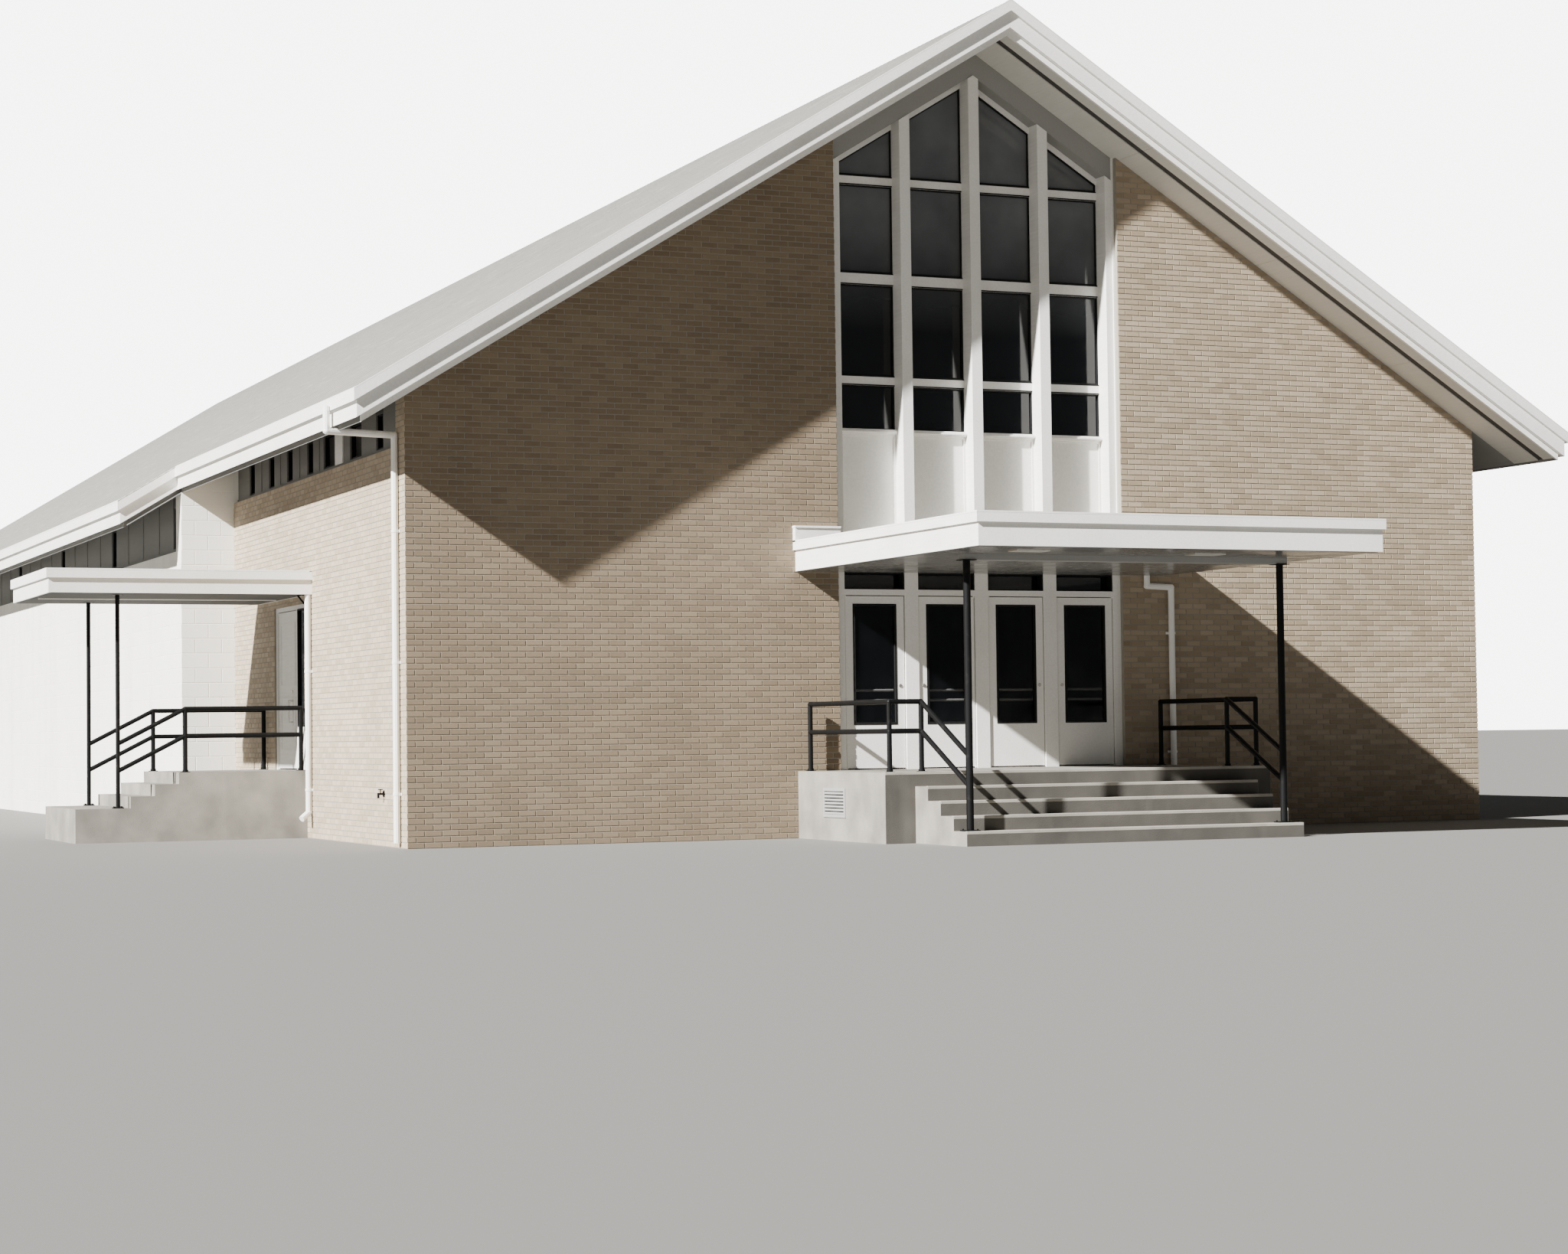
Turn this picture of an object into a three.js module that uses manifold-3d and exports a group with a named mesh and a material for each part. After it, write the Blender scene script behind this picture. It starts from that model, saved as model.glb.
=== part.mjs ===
// A brick church of the 1960s with one long gabled roof: a half-size model of the whole building.
// Lengths are the building's own, in millimetres, and the outer group brings them to the model's size.
// X runs along the front, Y from the front to the rear, Z up from the foot of the front steps.

import * as THREE from 'three';
import { mergeVertices } from 'three/addons/utils/BufferGeometryUtils.js';
import Module from 'manifold-3d';

const wasm = await Module();
wasm.setup();

// Scale of the model, the joint left between pieces that touch, and how round bars and balls are
const modelScale = 1 / 2;
const joint = 0.3 / modelScale;
const barSides = 10;
const ballSwell = 1.05;

// Plan of the walls
const wallThickness = 360;
const frontHalfWidth = 7350;
const naveStep = 750;
const naveHalfWidth = frontHalfWidth + naveStep;
const naveStart = 8720;
const rearFace = 42470;

// Levels above the foot of the steps
const riser = 160;
const frontTreads = 4;
const floorLevel = (frontTreads + 1) * riser;
const floorDepth = 250;
const frontSillLevel = 4600;
const naveSillLevel = 3930;

// Roof: fall for each unit of width, top of the ridge, and plumb depths below the top
const pitch = 0.614;
const ridgeTop = 10110;
const deckDepth = 250;
const roofDepth = 400;
const frontEave = 8190;
const naveEave = 8990;
const gableOverhang = 960;
const roofStepPlace = 8680;
const roofRear = rearFace + gableOverhang;

// Fascia: an upper trim that stands proud of the board below it, and a slot behind the board
const trimDepth = 130;
const fasciaDepth = 330;
const trimThickness = 60;
const boardSetback = 40;
const boardInner = 100;
const soffitSetback = 140;

// Window bay in the front gable
const bayHalfWidth = 1965;
const bayPitch = 960;
const finWidth = 140;
const finFront = 85;
const frameFront = 310;
const frameBack = 350;
const jambWidth = 115;
const glassThickness = 14;
const headInner = 8530 + floorLevel;
const headOuter = 8610 + floorLevel;
const windowRows = [
  [4170, 4710],
  [4835, 5950],
  [6105, 7180],
  [7305, null],
];
const sillProjection = 50;
const sillDepth = 60;
const infillFront = 100;

// Entrance below the front canopy
const doorPlane = 60;
const doorFrameDepth = 150;
const doorMullion = 180;
const doorJamb = 105;
const doorHead = 2120;
const transomBottom = 2190;
const transomTop = 2400;
const leafThickness = 44;
const leafClearance = 12;
const doorBottomClearance = 20;
const stileWidth = 115;
const doorGlassBottom = 560;
const doorGlassTop = 2000;
const pushBarHeights = [842, 965];
const pushBarRadius = 16;
const pushBarReach = 60;
const pivotRadius = 10;
const pivotGrip = 10;

// Front canopy with its posts
const canopyHalfWidth = 2562;
const canopyReach = 4830;
const canopySoffit = 2395 + floorLevel;
const canopyDepth = 350;
const canopyTrim = 100;
const canopyTrimProud = 30;
const canopyBeamDepth = 65;
const canopyBeamWidth = 120;
const canopyBeamInset = 490;
const curbHeight = 190;
const curbThickness = 80;
const postPlace = 2015;
const postReach = 3500;
const postRadius = 41;

// Front landing, steps and rails
const landingHalfWidth = 2530;
const landingReach = 2430;
const tread = 315;
const flightHalfWidth = 2156;
const railRadius = 29;
const railTop = 795;
const railMiddle = 462;
const railInset = 115;
const railWallGap = 120;
const stairRailDrop = 615;

// Side entrance on the left: opening, door, landing and canopy
const sideOpening = [4700, 6340];
const sideHead = 3000;
const sideLandingLevel = 860;
const sideRiser = 145;
const sideTread = 300;
const sidePad = 680;
const sideTreads = 3;
const sideLandingReach = 1640;
const sideLandingSpan = [4590, 6870];
const sideCanopyReach = 3316;
const sideCanopySpan = [4270, 7160];
const sideCanopySoffit = 3094;
const sideCanopyDepth = 283;
const sidePostReach = 2380;
const sideRailPlaces = [4690, 6750];
const sideRailPosts = [60, 1540];
const sideRailTop = 1658;
const sideRailMiddle = 1318;
const sideRailDrop = 430;
const sidePostRadius = 27;
const sidelightWidth = 400;
const sideFrameWidth = 55;
const sideDoorSetback = 20;
const handlePlace = 300;
const handleRange = [620, 900];
const handleReach = 55;
const handleRadius = 12;

// Clerestory bands under the eaves
const bandSetback = 60;
const bandThickness = 180;
const slotWidth = 310;
const wideSlotWidth = 540;
const frontWideSlots = [2360, 3640];
const frontSlots = [1270, 4600, 5690, 6710, 7860];
const frontSlotRange = [4650, 5070];
const naveSlotCount = 7;
const naveSlotPitch = 4790;
const naveSlotWidth = 380;
const naveSlotMargin = 90;
const naveSlotRange = [3990, 4580];

// Rain pipes: places along the wall, bends below the eave or canopy, and height of the open foot
const pipeRadius = 40;
const pipeOffWall = 8;
const pipeFoot = 60;
const eaveOutletPlace = 110;
const eaveOutletRise = 250;
const eaveOutletDrop = 28;
const wallPipePlace = 265;
const wallPipeDrop = 36;
const canopyPipeGap = 70;
const canopyPipeShift = 350;
const canopyPipeBends = [135, 150];
const sidePipePlace = 4345;
const sidePipeFoot = 330;
const spoutKick = [110, 60, 80];

// Finishes
function finish(color, roughness, metalness = 0) {
  return new THREE.MeshStandardMaterial({ color, roughness, metalness });
}

const brick = finish(0xa9977c, 0.9);
const paintedMasonry = finish(0xd8d4c8, 0.85);
const whitePaint = finish(0xe8e6df, 0.6);
const panelPaint = finish(0xa8aaa6, 0.6);
const shingle = finish(0xb4b3ae, 0.95);
const concrete = finish(0xb9b4a8, 0.9);
const glass = finish(0x1d2226, 0.1);
const ironPaint = finish(0x151515, 0.45, 0.4);
const pipePaint = finish(0xdedcd4, 0.5);

// Under side of the roof, less the joint, at a distance from the ridge line
const underside = (distance) => ridgeTop - roofDepth - pitch * Math.abs(distance) - joint;

const church = new THREE.Group();

function place(name, geometry, material) {
  const mesh = new THREE.Mesh(geometry, material);
  mesh.name = name;
  church.add(mesh);
}

function box(x, y, z) {
  const geometry = new THREE.BoxGeometry(x[1] - x[0], y[1] - y[0], z[1] - z[0]);
  return geometry.translate((x[0] + x[1]) / 2, (y[0] + y[1]) / 2, (z[0] + z[1]) / 2);
}

function outline(points) {
  return new THREE.Shape(points.map(([u, v]) => new THREE.Vector2(u, v)));
}

// A plan outline of x and y raised between two levels
function raised(points, z) {
  const geometry = new THREE.ExtrudeGeometry(outline(points), { depth: z[1] - z[0], bevelEnabled: false });
  return geometry.translate(0, 0, z[0]);
}

// An elevation of x and z run between two places along Y
function alongY(points, y) {
  const geometry = new THREE.ExtrudeGeometry(outline(points), { depth: y[1] - y[0], bevelEnabled: false });
  return geometry.rotateX(Math.PI / 2).translate(0, y[1], 0);
}

function toSolid(geometry) {
  const bare = geometry.index ? geometry.toNonIndexed() : geometry.clone();
  bare.deleteAttribute('normal');
  bare.deleteAttribute('uv');
  const merged = mergeVertices(bare, 1e-3);
  return new wasm.Manifold(new wasm.Mesh({
    numProp: 3,
    vertProperties: new Float32Array(merged.attributes.position.array),
    triVerts: new Uint32Array(merged.index.array),
  }));
}

function toGeometry(solid) {
  const mesh = solid.getMesh();
  const geometry = new THREE.BufferGeometry();
  geometry.setAttribute('position', new THREE.BufferAttribute(new Float32Array(mesh.vertProperties), 3));
  geometry.setIndex(new THREE.BufferAttribute(new Uint32Array(mesh.triVerts), 1));
  geometry.computeVertexNormals();
  return geometry;
}

function join(...geometries) {
  return toGeometry(geometries.map(toSolid).reduce((whole, piece) => whole.add(piece)));
}

function cut(geometry, ...tools) {
  return toGeometry(tools.map(toSolid).reduce((whole, tool) => whole.subtract(tool), toSolid(geometry)));
}

// A round bar between two points
function bar(from, to, radius, sides = barSides) {
  const start = new THREE.Vector3(...from);
  const run = new THREE.Vector3(...to).sub(start);
  const geometry = new THREE.CylinderGeometry(radius, radius, run.length(), sides);
  geometry.translate(0, run.length() / 2, 0);
  const turn = new THREE.Quaternion().setFromUnitVectors(new THREE.Vector3(0, 1, 0), run.clone().normalize());
  return geometry.applyQuaternion(turn).translate(start.x, start.y, start.z);
}

// A ball a little larger than the bars that meet in it
function ball(point, radius) {
  return new THREE.SphereGeometry(radius * ballSwell, barSides, 6).translate(...point);
}

// A pipe through a list of points, with a ball in each elbow
function pipe(points, radius) {
  const pieces = [];
  for (let i = 0; i + 1 < points.length; i += 1) {
    pieces.push(bar(points[i], points[i + 1], radius));
  }
  for (const point of points.slice(1, -1)) {
    pieces.push(ball(point, radius));
  }
  return join(...pieces);
}

// Brings a piece made level under the ridge top down to the slope of the roof
function slope(geometry, side) {
  const fall = new THREE.Matrix4().set(1, 0, 0, 0, 0, 1, 0, 0, -side * pitch, 0, 1, ridgeTop, 0, 0, 0, 1);
  return geometry.applyMatrix4(fall);
}

// Edge of one roof half in plan, from the ridge in front to the ridge behind, moved inward by a setback
function roofEdge(side, setback) {
  return [
    [side * joint / 2, setback - gableOverhang],
    [side * (frontEave - setback), setback - gableOverhang],
    [side * (frontEave - setback), roofStepPlace + setback],
    [side * (naveEave - setback), roofStepPlace + setback],
    [side * (naveEave - setback), roofRear - setback],
    [side * joint / 2, roofRear - setback],
  ];
}

function roofHalf(side) {
  const deck = raised(roofEdge(side, boardInner + joint), [-deckDepth, 0]);
  const soffit = raised(roofEdge(side, soffitSetback), [-roofDepth, -joint]);
  return slope(join(deck, soffit), side);
}

function fascia(side) {
  const strip = (outer, inner) => [...roofEdge(side, outer), ...roofEdge(side, inner).reverse()];
  const trim = raised(strip(0, boardInner), [-trimDepth, 0]);
  const board = raised(strip(boardSetback, boardInner), [-fasciaDepth, -trimThickness]);
  return slope(join(trim, board), side);
}

function addFloor() {
  const front = frontHalfWidth - wallThickness - joint;
  const nave = naveHalfWidth - wallThickness - joint;
  const turn = naveStart + wallThickness + joint;
  const plan = [
    [-front, wallThickness + joint],
    [front, wallThickness + joint],
    [front, turn],
    [nave, turn],
    [nave, rearFace - wallThickness - joint],
    [-nave, rearFace - wallThickness - joint],
    [-nave, turn],
    [-front, turn],
  ];
  place('floor', raised(plan, [floorLevel - floorDepth, floorLevel]), concrete);
}

function addFrontWall() {
  const depth = [0, wallThickness];
  for (const [name, side] of [['left', -1], ['right', 1]]) {
    const face = [
      [side * frontHalfWidth, 0],
      [side * bayHalfWidth, 0],
      [side * bayHalfWidth, underside(bayHalfWidth)],
      [side * frontHalfWidth, underside(frontHalfWidth)],
    ];
    place(`front_wall_${name}`, alongY(face, depth), brick);
  }
  const between = bayHalfWidth - joint;
  place('entrance_sill', box([-between, between], depth, [0, floorLevel - joint]), concrete);
  const infill = [
    [-between, headOuter + joint - pitch * between],
    [0, headOuter + joint],
    [between, headOuter + joint - pitch * between],
    [between, underside(between)],
    [0, underside(0)],
    [-between, underside(between)],
  ];
  place('gable_infill', alongY(infill, [infillFront, frameBack]), panelPaint);
}

function addSideWalls() {
  const run = [wallThickness + joint, naveStart - joint];
  const naveRun = [naveStart + wallThickness / 2, rearFace - wallThickness - joint];
  for (const [name, side] of [['left', -1], ['right', 1]]) {
    const across = (near, far) => [Math.min(side * near, side * far), Math.max(side * near, side * far)];
    const frontAcross = across(frontHalfWidth - wallThickness, frontHalfWidth);
    if (side < 0) {
      const [near, far] = sideOpening;
      const doorSide = [sideLandingLevel, sideHead];
      place('left_wall_near_door', box(frontAcross, [run[0], near], [0, frontSillLevel]), brick);
      place('left_wall_beyond_door', box(frontAcross, [far, run[1]], [0, frontSillLevel]), brick);
      const span = [near + joint, far - joint];
      place('left_wall_over_door', box(frontAcross, span, [doorSide[1], frontSillLevel]), brick);
      place('side_door_sill', box(frontAcross, span, [0, doorSide[0] - joint]), concrete);
    } else {
      place('right_wall', box(frontAcross, run, [0, frontSillLevel]), brick);
    }
    const inner = frontHalfWidth - wallThickness;
    const turn = [
      [side * naveHalfWidth, 0],
      [side * inner, 0],
      [side * inner, underside(inner)],
      [side * naveHalfWidth, underside(naveHalfWidth)],
    ];
    const turned = alongY(turn, [naveStart, naveStart + wallThickness]);
    const long = box(across(naveHalfWidth - wallThickness, naveHalfWidth), naveRun, [0, naveSillLevel]);
    place(`${name}_nave_wall`, join(turned, long), paintedMasonry);
  }
  const gable = [
    [-naveHalfWidth, 0],
    [naveHalfWidth, 0],
    [naveHalfWidth, underside(naveHalfWidth)],
    [0, underside(0)],
    [-naveHalfWidth, underside(naveHalfWidth)],
  ];
  place('rear_wall', alongY(gable, [rearFace - wallThickness, rearFace]), paintedMasonry);
}

// A framed band of small windows between a wall's sill and the under side of the roof
function addClerestory(name, side, half, run, sill, slots, height) {
  const outer = half - bandSetback;
  const inner = outer - bandThickness;
  const section = [
    [side * outer, sill + joint],
    [side * inner, sill + joint],
    [side * inner, underside(inner)],
    [side * outer, underside(outer)],
  ];
  const through = side < 0 ? [-outer - 1, -inner + 1] : [inner - 1, outer + 1];
  const span = ([middle, width]) => [middle - width / 2, middle + width / 2];
  const holes = slots.map((slot) => box(through, span(slot), height));
  place(`clerestory_${name}`, cut(alongY(section, run), ...holes), panelPaint);
  const pane = [inner - joint - glassThickness, inner - joint];
  const across = side < 0 ? [-pane[1], -pane[0]] : pane;
  const sheet = [sill + joint, underside(inner) - joint];
  place(`clerestory_glass_${name}`, box(across, run, sheet), glass);
}

function addClerestories() {
  const frontRun = [wallThickness + joint, naveStart - joint];
  const naveRun = [naveStart + wallThickness + joint, rearFace - wallThickness - joint];
  const frontBand = [
    ...frontWideSlots.map((middle) => [middle, wideSlotWidth]),
    ...frontSlots.map((middle) => [middle, slotWidth]),
  ];
  const naveBand = [];
  for (let i = 0; i < naveSlotCount; i += 1) {
    const first = naveStart + wallThickness + naveSlotMargin + naveSlotWidth / 2;
    naveBand.push([first + naveSlotPitch * i, naveSlotWidth]);
  }
  for (const [name, side] of [['left', -1], ['right', 1]]) {
    addClerestory(`${name}_front`, side, frontHalfWidth, frontRun, frontSillLevel, frontBand, frontSlotRange);
    addClerestory(`${name}_nave`, side, naveHalfWidth, naveRun, naveSillLevel, naveBand, naveSlotRange);
  }
}

// The tall window: a frame with its panes cut out, fins in front of it, and closed panels below the panes
function addGableWindow() {
  const base = canopySoffit + canopyDepth;
  const edge = bayHalfWidth - joint;
  const face = [
    [-edge, base],
    [edge, base],
    [edge, headOuter - pitch * edge],
    [0, headOuter],
    [-edge, headOuter - pitch * edge],
  ];
  const panes = [];
  const through = [frameFront - 1, frameBack + 1];
  const fins = [-2, -1, 0, 1, 2];
  for (const bay of [-2, -1, 0, 1]) {
    const left = bay === -2 ? -edge + jambWidth : bay * bayPitch + finWidth / 2;
    const right = bay === 1 ? edge - jambWidth : (bay + 1) * bayPitch - finWidth / 2;
    for (const [low, high] of windowRows) {
      const bottom = low + floorLevel;
      if (high === null) {
        const slopeTop = (x) => headInner - pitch * Math.abs(x);
        const pane = [[left, bottom], [right, bottom], [right, slopeTop(right)], [left, slopeTop(left)]];
        panes.push(alongY(pane, through));
      } else {
        panes.push(box([left, right], through, [bottom, high + floorLevel]));
      }
    }
  }
  const pieces = [cut(alongY(face, [frameFront, frameBack]), ...panes)];
  for (const fin of fins) {
    const atEdge = fin === fins[0] || fin === -fins[0];
    const outer = atEdge ? Math.sign(fin) * edge : fin * bayPitch + finWidth / 2;
    const inner = atEdge ? Math.sign(fin) * (edge - jambWidth) : fin * bayPitch - finWidth / 2;
    const [left, right] = [Math.min(outer, inner), Math.max(outer, inner)];
    const corners = [[left, base], [right, base], [right, headOuter - pitch * Math.abs(right) - 1]];
    if (fin === 0) {
      corners.push([0, headOuter - 1]);
    }
    corners.push([left, headOuter - pitch * Math.abs(left) - 1]);
    pieces.push(alongY(corners, [finFront, frameBack - 1]));
  }
  const sillTop = windowRows[0][0] + floorLevel;
  const sill = [frameFront - sillProjection, frameBack - 1];
  pieces.push(box([-edge + 1, edge - 1], sill, [sillTop - sillDepth, sillTop - 1]));
  place('window_frame', join(...pieces), whitePaint);

  const paneEdge = edge - joint;
  const sheet = [
    [-paneEdge, sillTop - sillDepth],
    [paneEdge, sillTop - sillDepth],
    [paneEdge, headOuter - pitch * paneEdge],
    [0, headOuter],
    [-paneEdge, headOuter - pitch * paneEdge],
  ];
  const depth = [frameBack + joint, frameBack + joint + glassThickness];
  place('window_glass', alongY(sheet, depth), glass);
}

// Clear width of each front door, from the left, with the side that carries its hinges
const doorway = bayPitch - doorMullion;
const frontDoors = [-2, -1, 0, 1].map((bay, index) => {
  const left = bay === -2 ? -bayHalfWidth + doorJamb : bay * bayPitch + doorMullion / 2;
  const right = bay === 1 ? bayHalfWidth - doorJamb : (bay + 1) * bayPitch - doorMullion / 2;
  return { name: `front_door_${index + 1}`, left, right, hinge: index % 2 === 0 ? 'left' : 'right' };
});

function addEntrance() {
  const edge = bayHalfWidth - joint;
  const top = canopySoffit + canopyDepth - joint;
  const depth = [doorPlane, doorPlane + doorFrameDepth];
  const frame = box([-edge, edge], depth, [floorLevel, top]);
  const openings = [];
  for (const { left, right } of frontDoors) {
    for (const [low, high] of [[-1, doorHead], [transomBottom, transomTop]]) {
      openings.push(box([left, right], [0, wallThickness], [floorLevel + low, floorLevel + high]));
    }
  }
  place('door_frame', cut(frame, ...openings), whitePaint);
  const sheet = [depth[1] + joint, depth[1] + joint + glassThickness];
  const height = [floorLevel + doorHead + joint, floorLevel + transomTop + sillDepth];
  place('transom_glass', box([-edge + joint, edge - joint], sheet, height), glass);
}

// The pins that a leaf turns on: one stands on the sill and one reaches up to the head of the frame
function pivots(x, y, [sill, head], headClearance) {
  const foot = bar([x, y, sill], [x, y, sill + doorBottomClearance + pivotGrip], pivotRadius);
  const top = bar([x, y, head - headClearance - pivotGrip], [x, y, head], pivotRadius);
  return [foot, top];
}

function addFrontDoors() {
  const front = doorPlane + boardSetback / 2;
  const back = front + leafThickness;
  const bottom = floorLevel + doorBottomClearance;
  const top = floorLevel + doorHead - leafClearance;
  for (const { name, left, right, hinge } of frontDoors) {
    const leaf = [left + leafClearance, right - leafClearance];
    const pane = [leaf[0] + stileWidth, leaf[1] - stileWidth];
    const light = [floorLevel + doorGlassBottom, floorLevel + doorGlassTop];
    const panel = cut(box(leaf, [front, back], [bottom, top]), box(pane, [front - 1, back + 1], light));
    const [nearArm, farArm] = [leaf[0] + stileWidth / 2, leaf[1] - stileWidth / 2];
    const pushBars = pushBarHeights.map((height) => pipe([
      [nearArm, back - 1, floorLevel + height],
      [nearArm, back + pushBarReach, floorLevel + height],
      [farArm, back + pushBarReach, floorLevel + height],
      [farArm, back - 1, floorLevel + height],
    ], pushBarRadius));
    const hung = hinge === 'left' ? leaf[0] : leaf[1];
    const pins = pivots(hung, front, [floorLevel, floorLevel + doorHead - joint], leafClearance);
    place(name, join(panel, ...pushBars, ...pins), whitePaint);
    const middle = (front + back) / 2;
    const sheet = [middle - glassThickness / 2, middle + glassThickness / 2];
    const clear = (range) => [range[0] + joint, range[1] - joint];
    place(`${name}_glass`, box(clear(pane), sheet, clear(light)), glass);
  }
}

function addSideDoor() {
  const face = -frontHalfWidth;
  const depth = [face + sideDoorSetback, face + sideDoorSetback + doorFrameDepth];
  const [near, far] = [sideOpening[0] + 2 * joint, sideOpening[1] - 2 * joint];
  const top = sideHead - joint;
  const mullion = near + sideFrameWidth + sidelightWidth;
  const lightBottom = sideLandingLevel + doorGlassBottom;
  const doorRange = [mullion + sideFrameWidth, far - sideFrameWidth];
  const cutDepth = [depth[0] - 1, depth[1] + 1];
  const frame = box(depth, [near, far], [sideLandingLevel, top]);
  const sidelight = box(cutDepth, [near + sideFrameWidth, mullion], [lightBottom, top - sideFrameWidth]);
  const doorOpening = box(cutDepth, doorRange, [sideLandingLevel - 1, top - sideFrameWidth]);
  place('side_door_frame', cut(frame, sidelight, doorOpening), whitePaint);
  const front = depth[0] + boardSetback / 2;
  const paneSpan = [near + sideFrameWidth + joint, mullion - joint];
  const paneHeight = [lightBottom + joint, top - sideFrameWidth - joint];
  place('sidelight_glass', box([front, front + glassThickness], paneSpan, paneHeight), glass);

  const leaf = box(
    [front, front + leafThickness],
    [doorRange[0] + leafClearance, doorRange[1] - leafClearance],
    [sideLandingLevel + doorBottomClearance, top - sideFrameWidth - leafClearance],
  );
  const pull = doorRange[0] + leafClearance + handlePlace;
  const grip = front - handleReach;
  const [low, high] = handleRange.map((height) => sideLandingLevel + height);
  const handle = pipe([
    [front + 1, pull, low],
    [grip, pull, low],
    [grip, pull, high],
    [front + 1, pull, high],
  ], handleRadius);
  const hung = doorRange[1] - leafClearance;
  const pins = pivots(front, hung, [sideLandingLevel, top - sideFrameWidth - joint], leafClearance);
  place('side_door', join(leaf, handle, ...pins), whitePaint);
}

// A flat roof slab whose upper trim stands proud of its board on the three open sides
function canopySlab(x, y, soffit, depth, closedSide) {
  const inset = (range, low, high) => [range[0] + low * canopyTrimProud, range[1] - high * canopyTrimProud];
  const open = (name) => (closedSide === name ? 0 : 1);
  const boardX = inset(x, 1, open('right'));
  const boardY = inset(y, 1, open('rear'));
  const trim = box(x, y, [soffit + depth - canopyTrim, soffit + depth]);
  const board = box(boardX, boardY, [soffit, soffit + depth - 1]);
  return [trim, board];
}

function addFrontCanopy() {
  const x = [-canopyHalfWidth, canopyHalfWidth];
  const y = [-canopyReach, -joint];
  const top = canopySoffit + canopyDepth;
  const pieces = canopySlab(x, y, canopySoffit, canopyDepth, 'rear');
  const beam = [-postReach - canopyBeamWidth / 2, -postReach + canopyBeamWidth / 2];
  const beamRun = [x[0] + canopyBeamInset, x[1] - canopyBeamInset];
  pieces.push(box(beamRun, beam, [canopySoffit - canopyBeamDepth, canopySoffit + 1]));
  for (const run of [[-canopyHalfWidth, -bayHalfWidth], [bayHalfWidth, canopyHalfWidth]]) {
    pieces.push(box(run, [-curbThickness, -joint], [top - 1, top + curbHeight]));
  }
  place('front_canopy', join(...pieces), whitePaint);
  for (const [name, side] of [['left', -1], ['right', 1]]) {
    const at = [side * postPlace, -postReach];
    const [foot, head] = [riser + joint, canopySoffit - canopyBeamDepth - joint];
    place(`canopy_post_${name}`, bar([...at, foot], [...at, head], postRadius, 16), ironPaint);
  }
}

// A flight beside its landing, made as blocks that reach the ground and share their risers
function flight(across, start, direction, along, steps) {
  const pieces = [];
  let near = start;
  for (const [going, level] of steps) {
    const far = near + direction * going;
    const run = [Math.min(start, far), Math.max(start, far)];
    pieces.push(along === 'y' ? box(across, run, [0, level]) : box(run, across, [0, level]));
    near = far;
  }
  return join(...pieces);
}

function addFrontSteps() {
  const landing = box([-landingHalfWidth, landingHalfWidth], [-landingReach, -joint], [0, floorLevel]);
  place('front_landing', landing, concrete);
  const steps = [];
  for (let i = 1; i <= frontTreads; i += 1) {
    steps.push([tread, floorLevel - riser * i]);
  }
  const across = [-flightHalfWidth, flightHalfWidth];
  place('front_steps', flight(across, -landingReach - joint, -1, 'y', steps), concrete);
}

// Pipe rails of the front landing: along its end, back along its front, and down beside the steps
function addFrontRails() {
  for (const [name, side] of [['left', -1], ['right', 1]]) {
    const outer = side * (landingHalfWidth - railInset);
    const inner = side * postPlace;
    const wallEnd = -railWallGap;
    const front = -landingReach + railInset;
    const corners = [[outer, wallEnd], [outer, front], [inner, front]];
    const upright = ([x, y]) => bar([x, y, floorLevel + joint], [x, y, floorLevel + railTop], railRadius);
    const pieces = corners.map(upright);
    for (const height of [railTop, railMiddle]) {
      const level = floorLevel + height;
      pieces.push(bar([outer, wallEnd, level], [outer, front, level], railRadius));
      pieces.push(bar([outer, front, level], [inner, front, level], railRadius));
      const foot = [inner, -postReach, level - stairRailDrop];
      pieces.push(bar([inner, front, level], foot, railRadius));
      for (const [x, y] of corners) {
        pieces.push(ball([x, y, level], railRadius));
      }
    }
    const post = bar([inner, -postReach, 0], [inner, -postReach, canopySoffit], postRadius + joint, 16);
    place(`front_rail_${name}`, cut(join(...pieces), post), ironPaint);
  }
}

function addSidePorch() {
  const wallFace = -frontHalfWidth - joint;
  const landingEdge = wallFace - sideLandingReach;
  place('side_landing', box([landingEdge, wallFace], sideLandingSpan, [0, sideLandingLevel]), concrete);
  const steps = [];
  for (let i = 1; i <= sideTreads; i += 1) {
    const going = i === sideTreads ? sidePad : sideTread;
    steps.push([going, sideLandingLevel - sideRiser * i]);
  }
  place('side_steps', flight(sideLandingSpan, landingEdge - joint, -1, 'x', steps), concrete);

  const x = [-frontHalfWidth - sideCanopyReach, wallFace];
  const slab = canopySlab(x, sideCanopySpan, sideCanopySoffit, sideCanopyDepth, 'right');
  place('side_canopy', join(...slab), whitePaint);
  const postX = -frontHalfWidth - sidePostReach;
  const padLevel = sideLandingLevel - sideRiser * sideTreads;
  for (const [name, y] of [['near', sideRailPlaces[0]], ['far', sideRailPlaces[1]]]) {
    const post = bar([postX, y, padLevel + joint], [postX, y, sideCanopySoffit - joint], sidePostRadius, 12);
    place(`side_post_${name}`, post, ironPaint);
    const [innerX, outerX] = sideRailPosts.map((reach) => -frontHalfWidth - reach);
    const pieces = [];
    for (const x of [innerX, outerX]) {
      pieces.push(bar([x, y, sideLandingLevel + joint], [x, y, sideRailTop], railRadius));
    }
    for (const level of [sideRailTop, sideRailMiddle]) {
      pieces.push(bar([innerX, y, level], [outerX, y, level], railRadius));
      const end = [postX, y, level - sideRailDrop];
      pieces.push(bar([outerX, y, level], end, railRadius));
      for (const x of [innerX, outerX]) {
        pieces.push(ball([x, y, level], railRadius));
      }
    }
    const shaft = bar([postX, y, 0], [postX, y, sideCanopySoffit], sidePostRadius + joint, 12);
    place(`side_rail_${name}`, cut(join(...pieces), shaft), ironPaint);
  }
}

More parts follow.
